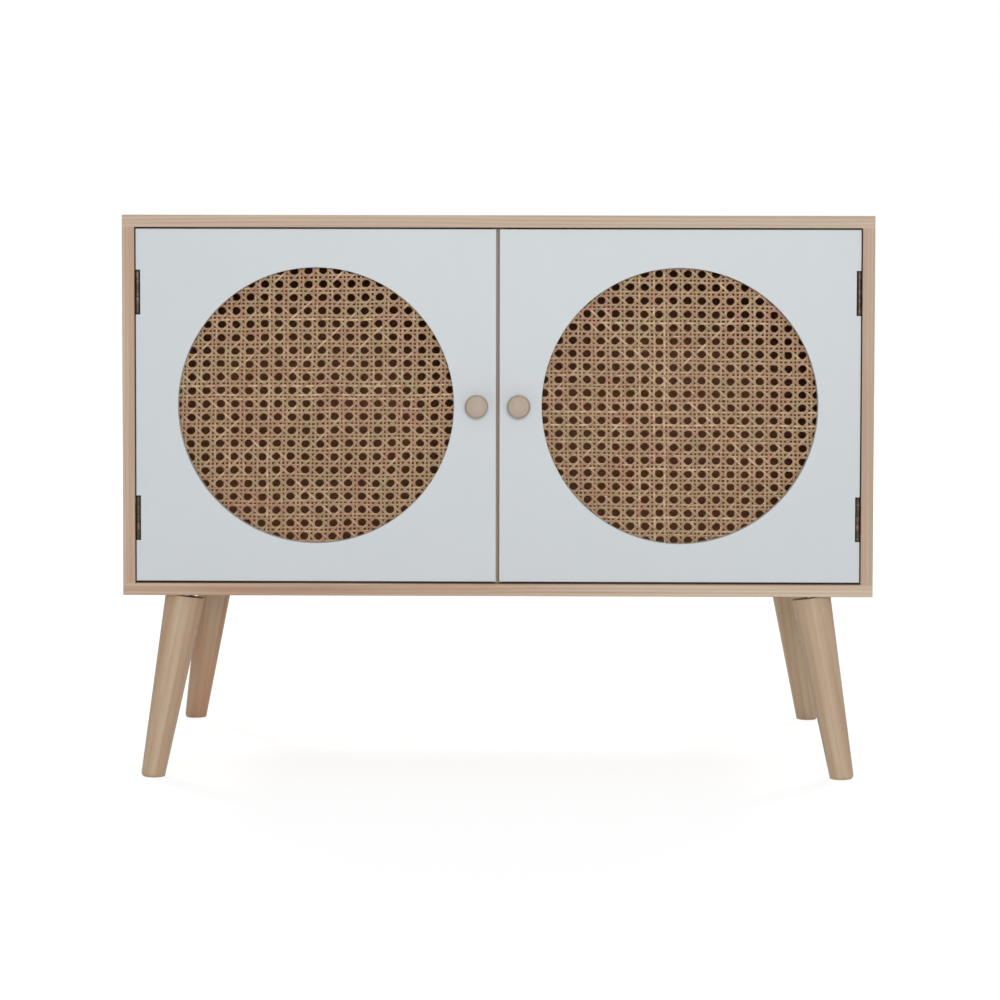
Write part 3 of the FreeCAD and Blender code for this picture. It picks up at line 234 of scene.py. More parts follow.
def shader_node(tree, kind, inputs=(), **settings):
    """A node with its settings, and its inputs set to values or linked to sockets."""
    made = tree.nodes.new("ShaderNode" + kind)
    for name, value in settings.items():
        setattr(made, name, value)
    for name, value in dict(inputs).items():
        feed(tree, made.inputs[name], value)
    return made


def calculate(tree, operation, *values, clamp=False):
    """The result of a Math node."""
    return shader_node(tree, "Math", enumerate(values), operation=operation, use_clamp=clamp).outputs[0]


def add(tree, first, second, clamp=False):
    return calculate(tree, "ADD", first, second, clamp=clamp)


def multiply(tree, first, second, clamp=False):
    return calculate(tree, "MULTIPLY", first, second, clamp=clamp)


def ramp(tree, value, size, start):
    """A value from 0 to 1 turned into one that begins at start and changes by size."""
    return calculate(tree, "MULTIPLY_ADD", value, size, start)


def around_zero(tree, value, size):
    """A value from 0 to 1 turned into one that changes by size, with 0 in the middle."""
    return ramp(tree, value, size, -size / 2)


def separate(tree, vector):
    """The X, Y and Z of a vector."""
    return shader_node(tree, "SeparateXYZ", {"Vector": vector}).outputs


def distance(tree, first, second):
    """The distance from the origin of a point with two coordinates."""
    squares = add(tree, calculate(tree, "POWER", first, 2.0), calculate(tree, "POWER", second, 2.0))
    return calculate(tree, "SQRT", squares)


def step_between(tree, value, low, high, start=0.0, end=1.0):
    """A smooth step of a value between low and high."""
    inputs = {"Value": value, "From Min": low, "From Max": high, "To Min": start, "To Max": end}
    return shader_node(tree, "MapRange", inputs, interpolation_type="SMOOTHSTEP").outputs["Result"]


def blended(tree, factor, first, second):
    """Two colours mixed by a factor."""
    mix = shader_node(tree, "Mix", data_type="RGBA")
    for name, value in (("Factor_Float", factor), ("A_Color", first), ("B_Color", second)):
        feed(tree, next(socket for socket in mix.inputs if socket.identifier == name), value)
    return next(socket for socket in mix.outputs if socket.identifier == "Result_Color")


def noise(tree, vector, scale, detail=2.0, roughness=0.5, distortion=0.0):
    """The grey value of a noise texture. The scale is one number, or three along X, Y and Z."""
    if isinstance(scale, tuple):
        inputs = {0: vector, 1: scale}
        vector = shader_node(tree, "VectorMath", inputs, operation="MULTIPLY").outputs[0]
        scale = 1.0
    inputs = {"Vector": vector, "Scale": scale, "Detail": detail, "Roughness": roughness,
              "Distortion": distortion}
    return shader_node(tree, "TexNoise", inputs).outputs["Fac"]


def rgba(values):
    return (values[0], values[1], values[2], 1.0)


def scaled_colour(values, factor):
    return [value * factor for value in values]


def new_group(name, inputs, outputs):
    """A shader node group with named inputs and outputs, and its two end nodes."""
    tree = bpy.data.node_groups.new(name, "ShaderNodeTree")
    for socket, kind, default in inputs:
        made = tree.interface.new_socket(name=socket, in_out="INPUT", socket_type="NodeSocket" + kind)
        if default is not None:
            made.default_value = default
    for socket, kind in outputs:
        tree.interface.new_socket(name=socket, in_out="OUTPUT", socket_type="NodeSocket" + kind)
    entry = tree.nodes.new("NodeGroupInput")
    exit_node = tree.nodes.new("NodeGroupOutput")
    return tree, entry.outputs, exit_node.inputs


def new_material(name):
    """An empty node material, its tree, its Principled node and the object coordinates."""
    material = bpy.data.materials.new(name)
    material.use_nodes = True
    tree = material.node_tree
    principled = tree.nodes["Principled BSDF"]
    position = shader_node(tree, "TexCoord").outputs["Object"]
    return material, tree, principled, position


def surface(tree, principled, colour_socket, roughness, height, relief, metallic=0.0):
    """Feeds a Principled node, with a bump whose relief is in metres."""
    tree.links.new(colour_socket, principled.inputs["Base Color"])
    tree.links.new(roughness, principled.inputs["Roughness"])
    principled.inputs["Metallic"].default_value = metallic
    bump = shader_node(tree, "Bump", {"Height": height, "Distance": relief, "Strength": 1.0})
    tree.links.new(bump.outputs["Normal"], principled.inputs["Normal"])


def dress(node_names, material):
    """Gives CAD nodes one material."""
    for name in node_names:
        mesh = NODES[name].data
        mesh.materials.clear()
        mesh.materials.append(material)


# ---- Pine ----------------------------------------------------


# Waves in a metre of the grain's features: along the grain and twice across it.
BEND_WAVES = (1.6, 6.0, 6.0)
RIPPLE_WAVES = (14.0, 90.0, 90.0)
FIBRE_WAVES = (22.0, 1500.0, 1500.0)
STREAK_WAVES = (3.0, 210.0, 210.0)
CLOUD_WAVES = (2.4, 22.0, 22.0)
BAND_WAVES = (1.8, 100.0, 100.0)

# Lengths in metres.
PITH_NEAREST = 0.028
PITH_SPREAD = 0.10
STAVE_SPREAD = 7.0
BEND = 0.016
RIPPLE = 0.0012
WOOD_RELIEF = 0.00006

# Smooth steps: the two values between which a mask changes, and where given its amounts there.
LATE_BEGINS = (0.30, 0.90)
LATE_ENDS = (0.90, 1.0, 1.0, 0.0)
STREAKS = (0.42, 0.80, 0.0, 0.38)
CLOUDS = (0.3, 0.7)
END_GRAIN = (0.80, 0.95)

BLUSH_BANDS = 2.4
FIBRE_SHADE = 0.20

# A share of the way from the middle to the cabinet's right end.
FADED_AT = 0.6

# How strongly oiled wood and satin paint mirror, where 0.5 is usual.
SATIN = 0.35


def pine_group():
    """Solid pine with its grain along X, glued from staves that lie side by side along Y.

    Every stave is cut from its own trunk: growth rings round a pith line that runs beside the stave,
    bent a little along the grain, with fine fibres and a reddish tone in clouds and bands. End grain
    shows the rings and clouds, and no bands.
    """
    if "Pine Grain" in bpy.data.node_groups:
        return bpy.data.node_groups["Pine Grain"]
    tree, given, result = new_group(
        "Pine Grain",
        [("Vector", "Vector", None), ("Pale", "Color", None), ("Late", "Color", None),
         ("Blush", "Color", None), ("Ring Width", "Float", 0.004), ("Stave Width", "Float", 0.08),
         ("Blush Amount", "Float", 0.4), ("End Grain", "Float", 0.0), ("Roughness", "Float", 0.5)],
        [("Color", "Color"), ("Roughness", "Float"), ("Height", "Float")],
    )
    parts = separate(tree, given["Vector"])
    stave = calculate(tree, "FLOOR", calculate(tree, "DIVIDE", parts["Y"], given["Stave Width"]))
    chance = shader_node(tree, "TexWhiteNoise", {"W": stave}, noise_dimensions="1D").outputs["Color"]
    pick = shader_node(tree, "SeparateColor", {"Color": chance}).outputs

    along = add(tree, parts["X"], multiply(tree, pick["Red"], STAVE_SPREAD))
    middle = multiply(tree, add(tree, stave, pick["Green"]), given["Stave Width"])
    beside = calculate(tree, "SUBTRACT", parts["Y"], middle)
    below = add(tree, parts["Z"], ramp(tree, pick["Blue"], PITH_SPREAD, PITH_NEAREST))
    own = shader_node(tree, "CombineXYZ", {"X": along, "Y": beside, "Z": below}).outputs[0]

    bend = around_zero(tree, noise(tree, own, BEND_WAVES), BEND)
    ripple = around_zero(tree, noise(tree, own, RIPPLE_WAVES, 1.0), RIPPLE)
    radius = add(tree, distance(tree, beside, below), add(tree, bend, ripple))
    ring = calculate(tree, "FRACT", calculate(tree, "DIVIDE", radius, given["Ring Width"]))
    late = multiply(tree, step_between(tree, ring, *LATE_BEGINS), step_between(tree, ring, *LATE_ENDS))

    fibre = noise(tree, own, FIBRE_WAVES, 2.0, 0.6)
    streak = noise(tree, own, STREAK_WAVES, 3.0, 0.55)
    cloud = noise(tree, own, CLOUD_WAVES)
    band = noise(tree, own, BAND_WAVES, 1.0)

    rings = multiply(tree, late, ramp(tree, cloud, 0.9, 0.05))
    streaks = step_between(tree, streak, *STREAKS)
    wood = blended(tree, add(tree, rings, streaks, clamp=True), given["Pale"], given["Late"])
    clouds = add(tree, multiply(tree, pick["Green"], 0.5), step_between(tree, cloud, *CLOUDS))
    along_grain = calculate(tree, "SUBTRACT", 1.0, given["End Grain"])
    bands = multiply(tree, around_zero(tree, band, BLUSH_BANDS), along_grain)
    tone = multiply(tree, add(tree, clouds, bands), given["Blush Amount"], clamp=True)
    wood = blended(tree, tone, wood, given["Blush"])
    light = add(tree, ramp(tree, fibre, FIBRE_SHADE, 0.88), ramp(tree, pick["Blue"], 0.07, -0.02))
    shaded = shader_node(tree, "HueSaturation", {"Value": light, "Color": wood}).outputs["Color"]

    feed(tree, result["Color"], shaded)
    feed(tree, result["Roughness"], add(tree, given["Roughness"], around_zero(tree, fibre, 0.12)))
    feed(tree, result["Height"], add(tree, multiply(tree, late, 0.5), fibre))
    return tree


def pine(settings, name, turn=(0.0, 0.0, 0.0), start=(0.0, 0.0, 0.0), blush=0.4, stave=None, ring=None,
         tones=None):
    """A pine material. The turn takes the grain's direction to X; start moves the pattern.

    The blush is one amount, or those at the left and right end of the cabinet.
    """
    pale, late, red = tones or (settings.pale, settings.late, settings.blush)
    material, tree, principled, position = new_material(name)
    place = {"Vector": position, "Rotation": turn, "Location": start}
    facing = {"Vector": position.node.outputs["Normal"], "Rotation": turn}
    turned = shader_node(tree, "Mapping", facing, vector_type="VECTOR").outputs[0]
    across_grain = calculate(tree, "ABSOLUTE", separate(tree, turned)["X"])
    if isinstance(blush, tuple):
        blush = fading_blush(tree, position, *blush)
    grain = shader_node(tree, "Group", {
        "Vector": shader_node(tree, "Mapping", place).outputs[0],
        "Pale": rgba(pale), "Late": rgba(late), "Blush": rgba(red), "Blush Amount": blush,
        "Ring Width": ring or settings.ring_width, "Stave Width": stave or settings.stave_width,
        "End Grain": step_between(tree, across_grain, *END_GRAIN), "Roughness": settings.roughness,
    }, node_tree=pine_group()).outputs
    surface(tree, principled, grain["Color"], grain["Roughness"], grain["Height"], WOOD_RELIEF)
    principled.inputs["Specular IOR Level"].default_value = SATIN
    return material


def fading_blush(tree, position, left, right):
    """A blush that goes from one amount at the cabinet's left end to another near its right end."""
    low, high = CAD_BOX
    return step_between(tree, separate(tree, position)["X"], low.x, high.x * FADED_AT, left, right)


# The grain's turn in upright pieces, and a stave wider than any piece, for those cut from one.
GRAIN_ALONG_Z = (0.0, math.radians(90.0), 0.0)
ONE_STAVE = 3.0


class CABINET_OT_finish_case(bpy.types.Operator):
    """Gives the boards, the back, the dowels and the brads their wood and metal"""

    bl_idname = "cabinet.finish_case"
    bl_label = "Finish the case"

    def execute(self, context):
        wood = context.scene.record_cabinet.pine
        # Painted shade: the divider's tones are painted 10 % darker, for the shade in the gap between the
        # doors.
        shaded_inside = [scaled_colour(tone, 0.90) for tone in (wood.pale, wood.late, wood.blush)]
        to_heart = (scaled_colour(wood.pale, 1.15), wood.late, wood.heart)
        finishes = {
            "top_panel": pine(wood, "pine_top", start=(0.31, 0.017, 0.0), blush=0.22),
            "bottom_panel": pine(wood, "pine_bottom", start=(1.7, 0.051, 0.0), blush=(1.0, 0.0),
                                 tones=to_heart),
            "side_panel_left": pine(wood, "pine_side_left", GRAIN_ALONG_Z, (0.9, 0.033, 0.0), 0.78),
            "side_panel_right": pine(wood, "pine_side_right", GRAIN_ALONG_Z, (2.85, 0.062, 0.0), 0.70),
            "centre_divider": pine(wood, "pine_divider", GRAIN_ALONG_Z, (3.1, 0.012, 0.0), 0.45,
                                   tones=shaded_inside),
            "panel_dowels": pine(wood, "beech_dowels", GRAIN_ALONG_Z, (0.4, 0.5, 0.2), 0.1, ONE_STAVE,
                                 0.0015),
            "back_panel": back_sheet(wood),
            "back_panel_nails": plated_steel(context, "brad_steel"),
        }
        for node, material in finishes.items():
            dress([node], material)
        return {"FINISHED"}


def back_sheet(settings):
    """Thin pressed fibre sheet: brown, cloudy, with short fibres in every direction."""
    material, tree, principled, position = new_material("back_sheet")
    cloud = noise(tree, position, 9.0, 3.0)
    clumps = noise(tree, position, 240.0, 3.0, 0.6, 1.5)
    fibres = noise(tree, position, 1300.0, 2.0, 0.6, 0.8)
    fine = add(tree, multiply(tree, clumps, 0.35), multiply(tree, fibres, 0.25))
    dark = step_between(tree, add(tree, multiply(tree, cloud, 0.4), fine), 0.35, 0.65)
    inner = blended(tree, dark, rgba(settings.sheet), rgba(settings.sheet_dark))
    outer = blended(tree, dark, rgba(settings.sheet_back), rgba(scaled_colour(settings.sheet_back, 0.68)))
    low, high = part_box("back_panel")
    skin = 0.0005
    outside = step_between(tree, separate(tree, position)["Y"], low.y + skin, high.y - skin)
    face = blended(tree, outside, inner, outer)
    surface(tree, principled, face, ramp(tree, clumps, 0.25, 0.42), add(tree, clumps, fibres), 0.00004)
    principled.inputs["Specular IOR Level"].default_value = 0.2
    return material


# ---- Paint ---------------------------------------------------


# Waves in a metre of the roller's marks, which run upwards.
ROLLER_WAVES = (55.0, 55.0, 12.0)


class CABINET_OT_paint_doors(bpy.types.Operator):
    """Paints the doors, and gives the cane rings behind them their plywood"""

    bl_idname = "cabinet.paint_doors"
    bl_label = "Paint the doors"

    def execute(self, context):
        paint = context.scene.record_cabinet.paint
        wood = context.scene.record_cabinet.pine
        material, tree, principled, position = new_material("door_paint")
        cloud = noise(tree, position, 5.0)
        peel = noise(tree, position, 1.0 / paint.peel)
        roller = noise(tree, position, ROLLER_WAVES)
        spread = ramp(tree, cloud, 0.7, multiply(tree, roller, 0.3))
        face = blended(tree, spread, rgba(paint.colour), rgba(scaled_colour(paint.colour, 0.94)))
        rough = ramp(tree, peel, 0.10, paint.roughness - 0.05)
        surface(tree, principled, face, rough, add(tree, peel, roller), 0.00001)
        principled.inputs["Specular IOR Level"].default_value = SATIN
        dress([f"door_{side}" for side in SIDES], material)
        rings = pine(wood, "ring_plywood", start=(0.2, 0.3, 0.1), blush=0.2, stave=ONE_STAVE, ring=0.006)
        dress([f"cane_ring_{side}" for side in SIDES], rings)
        dress([f"cane_ring_pins_{side}" for side in SIDES], plated_steel(context, "ring_pin_steel"))
        return {"FINISHED"}


# ---- Cane ----------------------------------------------------


# Waves in a metre: along a strand, across it, and for its chance value.
PATCH_WAVES = (45.0, 40.0, 53.0)
BARK_WAVES = (60.0, 4200.0, 71.0)
RED_WAVES = (33.0, 20.0, 37.0)
OLIVE_WAVES = (29.0, 20.0, 91.0)

# Smooth steps: the two values between which a colour comes in, and its shares there.
# A few whole strands are painted pale along their length: partly pale bark, partly a painted highlight of
# glossy strands.
PALE_HIGHLIT_STRANDS = (0.80, 0.97, 0.0, 0.75)
PALE_PATCHES = (0.36, 0.68, 0.0, 0.55)
RED_PATCHES = (0.50, 0.66, 0.0, 0.75)
OLIVE_PATCHES = (0.52, 0.68, 0.0, 0.7)
JOINTS = (0.985, 1.0, 0.0, 0.7)


def cane_material(settings):
    """Split cane: glossy bark with fibres along each strand, joints, reddish patches, and a few pale strands
    that are partly a painted highlight.

    The strands carry the attribute "strand": run along the strand, place across it, and a chance value.
    """
    material, tree, principled, position = new_material("cane")
    own = shader_node(tree, "Attribute", attribute_name="strand").outputs["Vector"]
    parts = separate(tree, own)
    chance = parts["Z"]
    patches = noise(tree, own, PATCH_WAVES)
    fibres = noise(tree, own, BARK_WAVES, 2.0, 0.6)
    batch = noise(tree, position, 34.0, 1.0)
    reddish = add(tree, noise(tree, own, RED_WAVES, 1.0), around_zero(tree, batch, 0.5))
    greenish = add(tree, noise(tree, own, OLIVE_WAVES, 1.0), around_zero(tree, batch, -0.5))

    # Painted highlight: a few whole strands are paler along their length, partly pale bark and partly light
    # caught by glossy strands.
    few_pale_highlit = step_between(tree, chance, *PALE_HIGHLIT_STRANDS)
    pale_share = add(tree, few_pale_highlit, step_between(tree, patches, *PALE_PATCHES), clamp=True)
    joint_place = add(tree, calculate(tree, "DIVIDE", parts["X"], settings.joint_spacing),
                      multiply(tree, chance, 9.0))
    bark = blended(tree, pale_share, rgba(settings.tan), rgba(settings.pale))
    for where, tone in (
        (step_between(tree, reddish, *RED_PATCHES), settings.red),
        (step_between(tree, greenish, *OLIVE_PATCHES), settings.olive),
        (step_between(tree, calculate(tree, "FRACT", joint_place), *JOINTS), settings.joint),
    ):
        bark = blended(tree, where, bark, rgba(tone))

    light = add(tree, ramp(tree, fibres, 0.36, 0.74), multiply(tree, noise(tree, position, 21.0, 1.0), 0.12))
    face = shader_node(tree, "HueSaturation", {"Value": light, "Color": bark}).outputs["Color"]
    surface(tree, principled, face, ramp(tree, fibres, 0.20, 0.27), fibres, 0.00004)
    return material


def swing(phase, reach):
    """One over-and-under wave of a strand that crosses a pair, from -1 to 1.

    The phase is the distance from the pair's middle in pitches, and reach that of a strand of it.
    """
    if abs(phase) > 2 * reach:
        return 0.0
    return -math.sin(math.pi * phase / (2 * reach))


def from_middle(place, pitch):
    """Distance in pitches from the nearest middle between two holes."""
    pitches = place / pitch - 0.5
    return pitches - round(pitches)


# Least and greatest number of radians in a metre, of the webbing's warp and of a strand's wander.
WARP_WAVES = (45.0, 105.0)
WANDER_WAVES = (60.0, 110.0)

# Least and greatest share of the usual width of a strand.
WIDTHS = (0.92, 1.08)

# Shares of the wander that a whole strand is off its line, and of the thickness that is chamfered.
OFF_LINE = 0.6
CHAMFER = 0.55


class Weave:
    """Builds one disc of webbing, centred on a window, strand by strand."""

    def __init__(self, settings, centre, hole, slopes, seed):
        self.settings = settings
        self.centre = centre
        self.hole = hole
        self.slopes = slopes
        self.random = random.Random(seed)
        self.warps = [(self.random.uniform(*WARP_WAVES), self.random.uniform(0.0, math.pi),
                       self.random.uniform(0.0, 2 * math.pi)) for count in range(6)]
        self.bm = bmesh.new()
        self.attribute = []

    def drawn(self, place):
        """A place on the webbing after it was stretched over the window a little unevenly."""
        shifts = []
        for waves in (self.warps[:3], self.warps[3:]):
            turns = [speed * (place.x * math.cos(way) + place.z * math.sin(way)) + start
                     for speed, way, start in waves]
            shifts.append(self.settings.warp * sum(math.sin(turn) for turn in turns) / len(turns))
        return Vector((place.x + self.slopes[0] * place.z + shifts[0], place.y,
                       place.z + self.slopes[1] * place.x + shifts[1]))

    def strand(self, across, aside, height):
        """Adds a strand, so far aside along the unit vector across; height is a function of x and z."""
        cane = self.settings
        edge = abs(aside) + cane.strand_width / 2
        if edge >= cane.radius:
            return
        run = 2 * math.sqrt(cane.radius ** 2 - edge ** 2)
        along = Vector((across.z, 0.0, -across.x))
        width = cane.strand_width * self.random.uniform(*WIDTHS)
        jitter = self.random.gauss(0.0, cane.wander * OFF_LINE)
        wave = self.random.uniform(*WANDER_WAVES)
        shift = self.random.uniform(0.0, 10.0)
        chance = self.random.random()
        steps = max(2, round(cane.steps * run / cane.pitch_across))
        piece = flat_strip(run, cane.strand_thickness, width, steps)
        for vertex in piece.verts:
            s, depth, w = vertex.co
            stray = jitter + cane.wander * math.sin(wave * s + shift)
            place = along * s + across * (aside + w + stray)
            place.y = depth - height(place.x - self.hole[0], place.z - self.hole[1])
            self.attribute += (s, w, chance)
            vertex.co = self.drawn(place) + self.centre
        scratch = bpy.data.meshes.new("strand")
        piece.to_mesh(scratch)
        piece.free()
        self.bm.from_mesh(scratch)
        bpy.data.meshes.remove(scratch)

    def set_of_strands(self, across, pitch, offsets, height_for):
        """Strands side by side: at each middle between holes, one for each offset."""
        count = int(self.settings.radius / pitch) + 2
        start = across.x * self.hole[0] + across.z * self.hole[1]
        for step in range(-count, count):
            for index, aside in enumerate(offsets):
                self.strand(across, start + (step + 0.5) * pitch + aside, height_for(index))

    def weave(self):
        """All four sets."""
        cane = self.settings
        offsets = (-cane.pair_offset, cane.pair_offset)
        reach_across = cane.pair_offset / cane.pitch_across
        reach_up = cane.pair_offset / cane.pitch_up

        def level(index):
            lift = cane.pair_depth if index == 0 else -cane.pair_depth
            return lambda x, z: lift * swing(from_middle(x, cane.pitch_across), reach_across)

        def upright(index):
            lift = -cane.pair_depth if index == 0 else cane.pair_depth
            return lambda x, z: lift * swing(from_middle(z, cane.pitch_up), reach_up)

        def diagonal(lift):
            return lambda index: lambda x, z: lift * math.cos(2 * math.pi * x / cane.pitch_across)

        slant = Vector((1 / cane.pitch_across, 0.0, 1 / cane.pitch_up))
        mirrored = Vector((-slant.x, 0.0, slant.z))
        spacing = 1 / slant.length
        self.set_of_strands(UP, cane.pitch_up, offsets, level)
        self.set_of_strands(RIGHT, cane.pitch_across, offsets, upright)
        self.set_of_strands(mirrored.normalized(), spacing, (0.0,), diagonal(cane.diagonal_depth))
        self.set_of_strands(slant.normalized(), spacing, (0.0,), diagonal(-cane.diagonal_depth))

    def finish(self, name, material):
        """The webbing as an object, with the attribute that its material reads."""
        piece = new_piece(name, self.bm, material)
        layer = piece.data.attributes.new("strand", "FLOAT_VECTOR", "POINT")
        layer.data.foreach_set("vector", self.attribute)
        return piece


def flat_strip(run, thickness, width, steps):
    """A straight strip along X with chamfered front edges, divided along its run."""
    strip = bmesh.new()
    bmesh.ops.create_cube(strip, size=1.0)
    bmesh.ops.scale(strip, vec=(run, thickness, width), verts=strip.verts)

    def long_edges():
        return [edge for edge in strip.edges if abs(edge.verts[0].co.x - edge.verts[1].co.x) > run / 2]

    front = [edge for edge in long_edges() if all(vertex.co.y < 0 for vertex in edge.verts)]
    bmesh.ops.bevel(strip, geom=front, offset=thickness * CHAMFER, affect="EDGES", segments=1,
                    profile=0.5, material=-1)
    bmesh.ops.subdivide_edges(strip, edges=long_edges(), cuts=steps - 1, use_grid_fill=True)
    return strip


def new_piece(name, bm, material):
    """A smooth-shaded object from a bmesh, at the origin."""
    mesh = bpy.data.meshes.new(name)
    bm.to_mesh(mesh)
    bm.free()
    mesh.shade_smooth()
    mesh.materials.append(material)
    piece = bpy.data.objects.new(name, mesh)
    bpy.context.scene.collection.objects.link(piece)
    return piece


class CABINET_OT_weave_cane(bpy.types.Operator):
    """Weaves the cane of both windows: pairs of upright and level strands with diagonals between them"""

    bl_idname = "cabinet.weave_cane"
    bl_label = "Weave the cane"

    def execute(self, context):
        settings = context.scene.record_cabinet.cane
        material = cane_material(settings)
        for name, side in SIDES.items():
            low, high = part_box(f"cane_{name}")
            hole = getattr(settings, f"{name}_hole")
            slopes = getattr(settings, f"{name}_slope")
            weave = Weave(settings, (low + high) / 2, hole, slopes, 11 + side)
            weave.weave()
            piece = weave.finish(f"cane_weave_{name}", material)
            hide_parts(f"cane_{name}")
            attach(piece, f"{name}_door")
        return {"FINISHED"}


# ---- Legs and knobs ------------------------------------------


# A leg's way from its top to its sole, its wood's turn about its axis, and its place in the wood.
LEG_LEAN = Vector((0.032, 0.032, -0.194))
LEG_SPIN = math.radians(62.0)
LEG_CUT = Vector((0.37, 0.03, 0.012))
LEG_BLUSH = {
    "leg_front_left": 0.44,
    "leg_front_right": 0.34,
    "leg_rear_left": 1.65,
    "leg_rear_right": 0.12,
}
KNOB_BLUSH = {"left": 0.6, "right": 0.15}
KNOB_CUT = {"left": (-0.5, 0.41, -0.02), "right": (0.5, 0.45, 0.02)}


class CABINET_OT_finish_legs(bpy.types.Operator):
    """Gives each leg pine whose grain runs down its own axis"""

    bl_idname = "cabinet.finish_legs"
    bl_label = "Finish the legs"

    def execute(self, context):
        wood = context.scene.record_cabinet.pine
        tones = (wood.leg_pale, wood.leg_late, wood.leg_blush)
        steel = plated_steel(context, "bolt_steel")
        for rank, (row, along) in enumerate(ROWS.items()):
            for name, side in SIDES.items():
                node = f"leg_{row}_{name}"
                low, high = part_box(node)
                axis = Vector((LEG_LEAN.x * side, LEG_LEAN.y * along, LEG_LEAN.z)).normalized()
                upright = axis.rotation_difference(RIGHT).to_matrix()
                turn = (Matrix.Rotation(LEG_SPIN * side, 3, "X") @ upright).to_euler("XYZ")
                middle = turn.to_matrix() @ ((low + high) / 2)
                start = Vector((rank + LEG_CUT.x * side, LEG_CUT.y - middle.y, LEG_CUT.z * side - middle.z))
                leg_wood = pine(wood, f"pine_{node}", turn, start, LEG_BLUSH[node], ONE_STAVE,
                                wood.leg_ring_width, tones)
                dress([node], leg_wood)
                dress([f"leg_bolt_{row}_{name}", f"leg_insert_{row}_{name}"], steel)
        return {"FINISHED"}


class CABINET_OT_finish_knobs(bpy.types.Operator):
    """Gives the turned knobs sanded pine with upright grain"""

    bl_idname = "cabinet.finish_knobs"
    bl_label = "Finish the knobs"

    def execute(self, context):
        wood = context.scene.record_cabinet.pine
        tones = (wood.knob_pale, wood.knob_late, wood.knob_blush)
        steel = plated_steel(context, "knob_screw_steel")
        for name in SIDES:
            knob_wood = pine(wood, f"pine_knob_{name}", GRAIN_ALONG_Z, KNOB_CUT[name], KNOB_BLUSH[name],
                             ONE_STAVE, wood.knob_ring_width, tones)
            dress([f"knob_{name}"], knob_wood)
            dress([f"knob_screw_{name}"], steel)
        return {"FINISHED"}


# ---- Metal and plastic ---------------------------------------


KNUCKLES = 5
METAL_RELIEF = 0.00001

# Smooth steps: where a knuckle's belly ends, and how much is rubbed, with the amounts there.
BELLY = (0.25, 0.50, 1.0, 0.35)
RUBBED = (0.45, 0.75, 0.05, 0.6)


def plated_steel(context, name, plating=None):
    """Steel with a faint mottle in its plating, which is zinc where no other colour is given."""
    plating = plating or context.scene.record_cabinet.metal.zinc
    material, tree, principled, position = new_material(name)
    mottle = noise(tree, position, 900.0, 3.0)
    face = blended(tree, mottle, rgba(scaled_colour(plating, 0.8)), rgba(plating))
    surface(tree, principled, face, ramp(tree, mottle, 0.25, 0.22), mottle, METAL_RELIEF, 1.0)
    return material


def aged_bronze(context, name, middle, knuckle):
    """Dark antique bronze, rubbed lighter in places, most on the bellies of a hinge's knuckles.

    The middle is the height of the hinge's middle, and knuckle the length of one knuckle.
    """
    metal = context.scene.record_cabinet.metal
    material, tree, principled, position = new_material(name)
    rub = noise(tree, position, 190.0, 3.0, 0.6)
    fine = noise(tree, position, 1500.0)
    height = calculate(tree, "SUBTRACT", separate(tree, position)["Z"], middle)
    from_belly = calculate(tree, "PINGPONG", calculate(tree, "DIVIDE", height, knuckle), 0.5)
    worn = multiply(tree, step_between(tree, rub, *RUBBED), step_between(tree, from_belly, *BELLY))
    face = blended(tree, worn, rgba(metal.bronze), rgba(metal.rubbed))
    surface(tree, principled, face, ramp(tree, fine, 0.20, 0.28), fine, METAL_RELIEF, 0.85)
    return material


def catch_plastic(context):
    """Moulded brown plastic with a fine texture."""
    plastic = context.scene.record_cabinet.metal.plastic
    material, tree, principled, position = new_material("catch_plastic")
    grain = noise(tree, position, 2600.0)
    face = blended(tree, grain, rgba(plastic), rgba(scaled_colour(plastic, 1.2)))
    surface(tree, principled, face, ramp(tree, grain, 0.15, 0.42), grain, 0.00002)
    return material


class CABINET_OT_fit_hardware(bpy.types.Operator):
    """Gives hinges, screws, catches and strike plates their metal and plastic"""

    bl_idname = "cabinet.fit_hardware"
    bl_label = "Fit the hardware"

    def execute(self, context):
        metal = context.scene.record_cabinet.metal
        for row in ("top", "bottom"):
            low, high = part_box(f"hinge_left_{row}_frame_leaf")
            knuckle = (high.z - low.z) / KNUCKLES
            bronze = aged_bronze(context, f"bronze_{row}", (low.z + high.z) / 2, knuckle)
            leaves = (f"{row}_frame_leaf", f"{row}_door_leaf")
            dress([name for name in NODES if name.endswith(leaves)], bronze)
        dark = plated_steel(context, "dark_bronze", metal.bronze)
        dress([name for name in NODES if name.startswith("hinge_screws") or name.endswith("_pin")], dark)
        zinc = plated_steel(context, "zinc_steel")
        dress([name for name in NODES if name.startswith(("strike_", "catch_magnet", "catch_screws"))], zinc)
        dress([f"catch_{side}" for side in SIDES], catch_plastic(context))
        return {"FINISHED"}


# ---- Screw heads ---------------------------------------------


# Degrees from one screw's cross to the next one's.
TURN_PER_SCREW = 37.0
SHARP_EDGE = math.radians(35.0)
WELD = 0.000001


def solids_of(bm):
    """The separate solids of a mesh, each as a list of faces, in the same order each run."""
    found = []
    waiting = set(bm.faces)
    for first in bm.faces:
        if first not in waiting:
            continue
        solid = [first]
        waiting.remove(first)
        for face in solid:
            beside = {other for edge in face.edges for other in edge.link_faces} & waiting
            waiting -= beside
            solid += sorted(beside, key=lambda other: other.index)
        found.append(sorted(solid, key=lambda face: face.index))
    return found


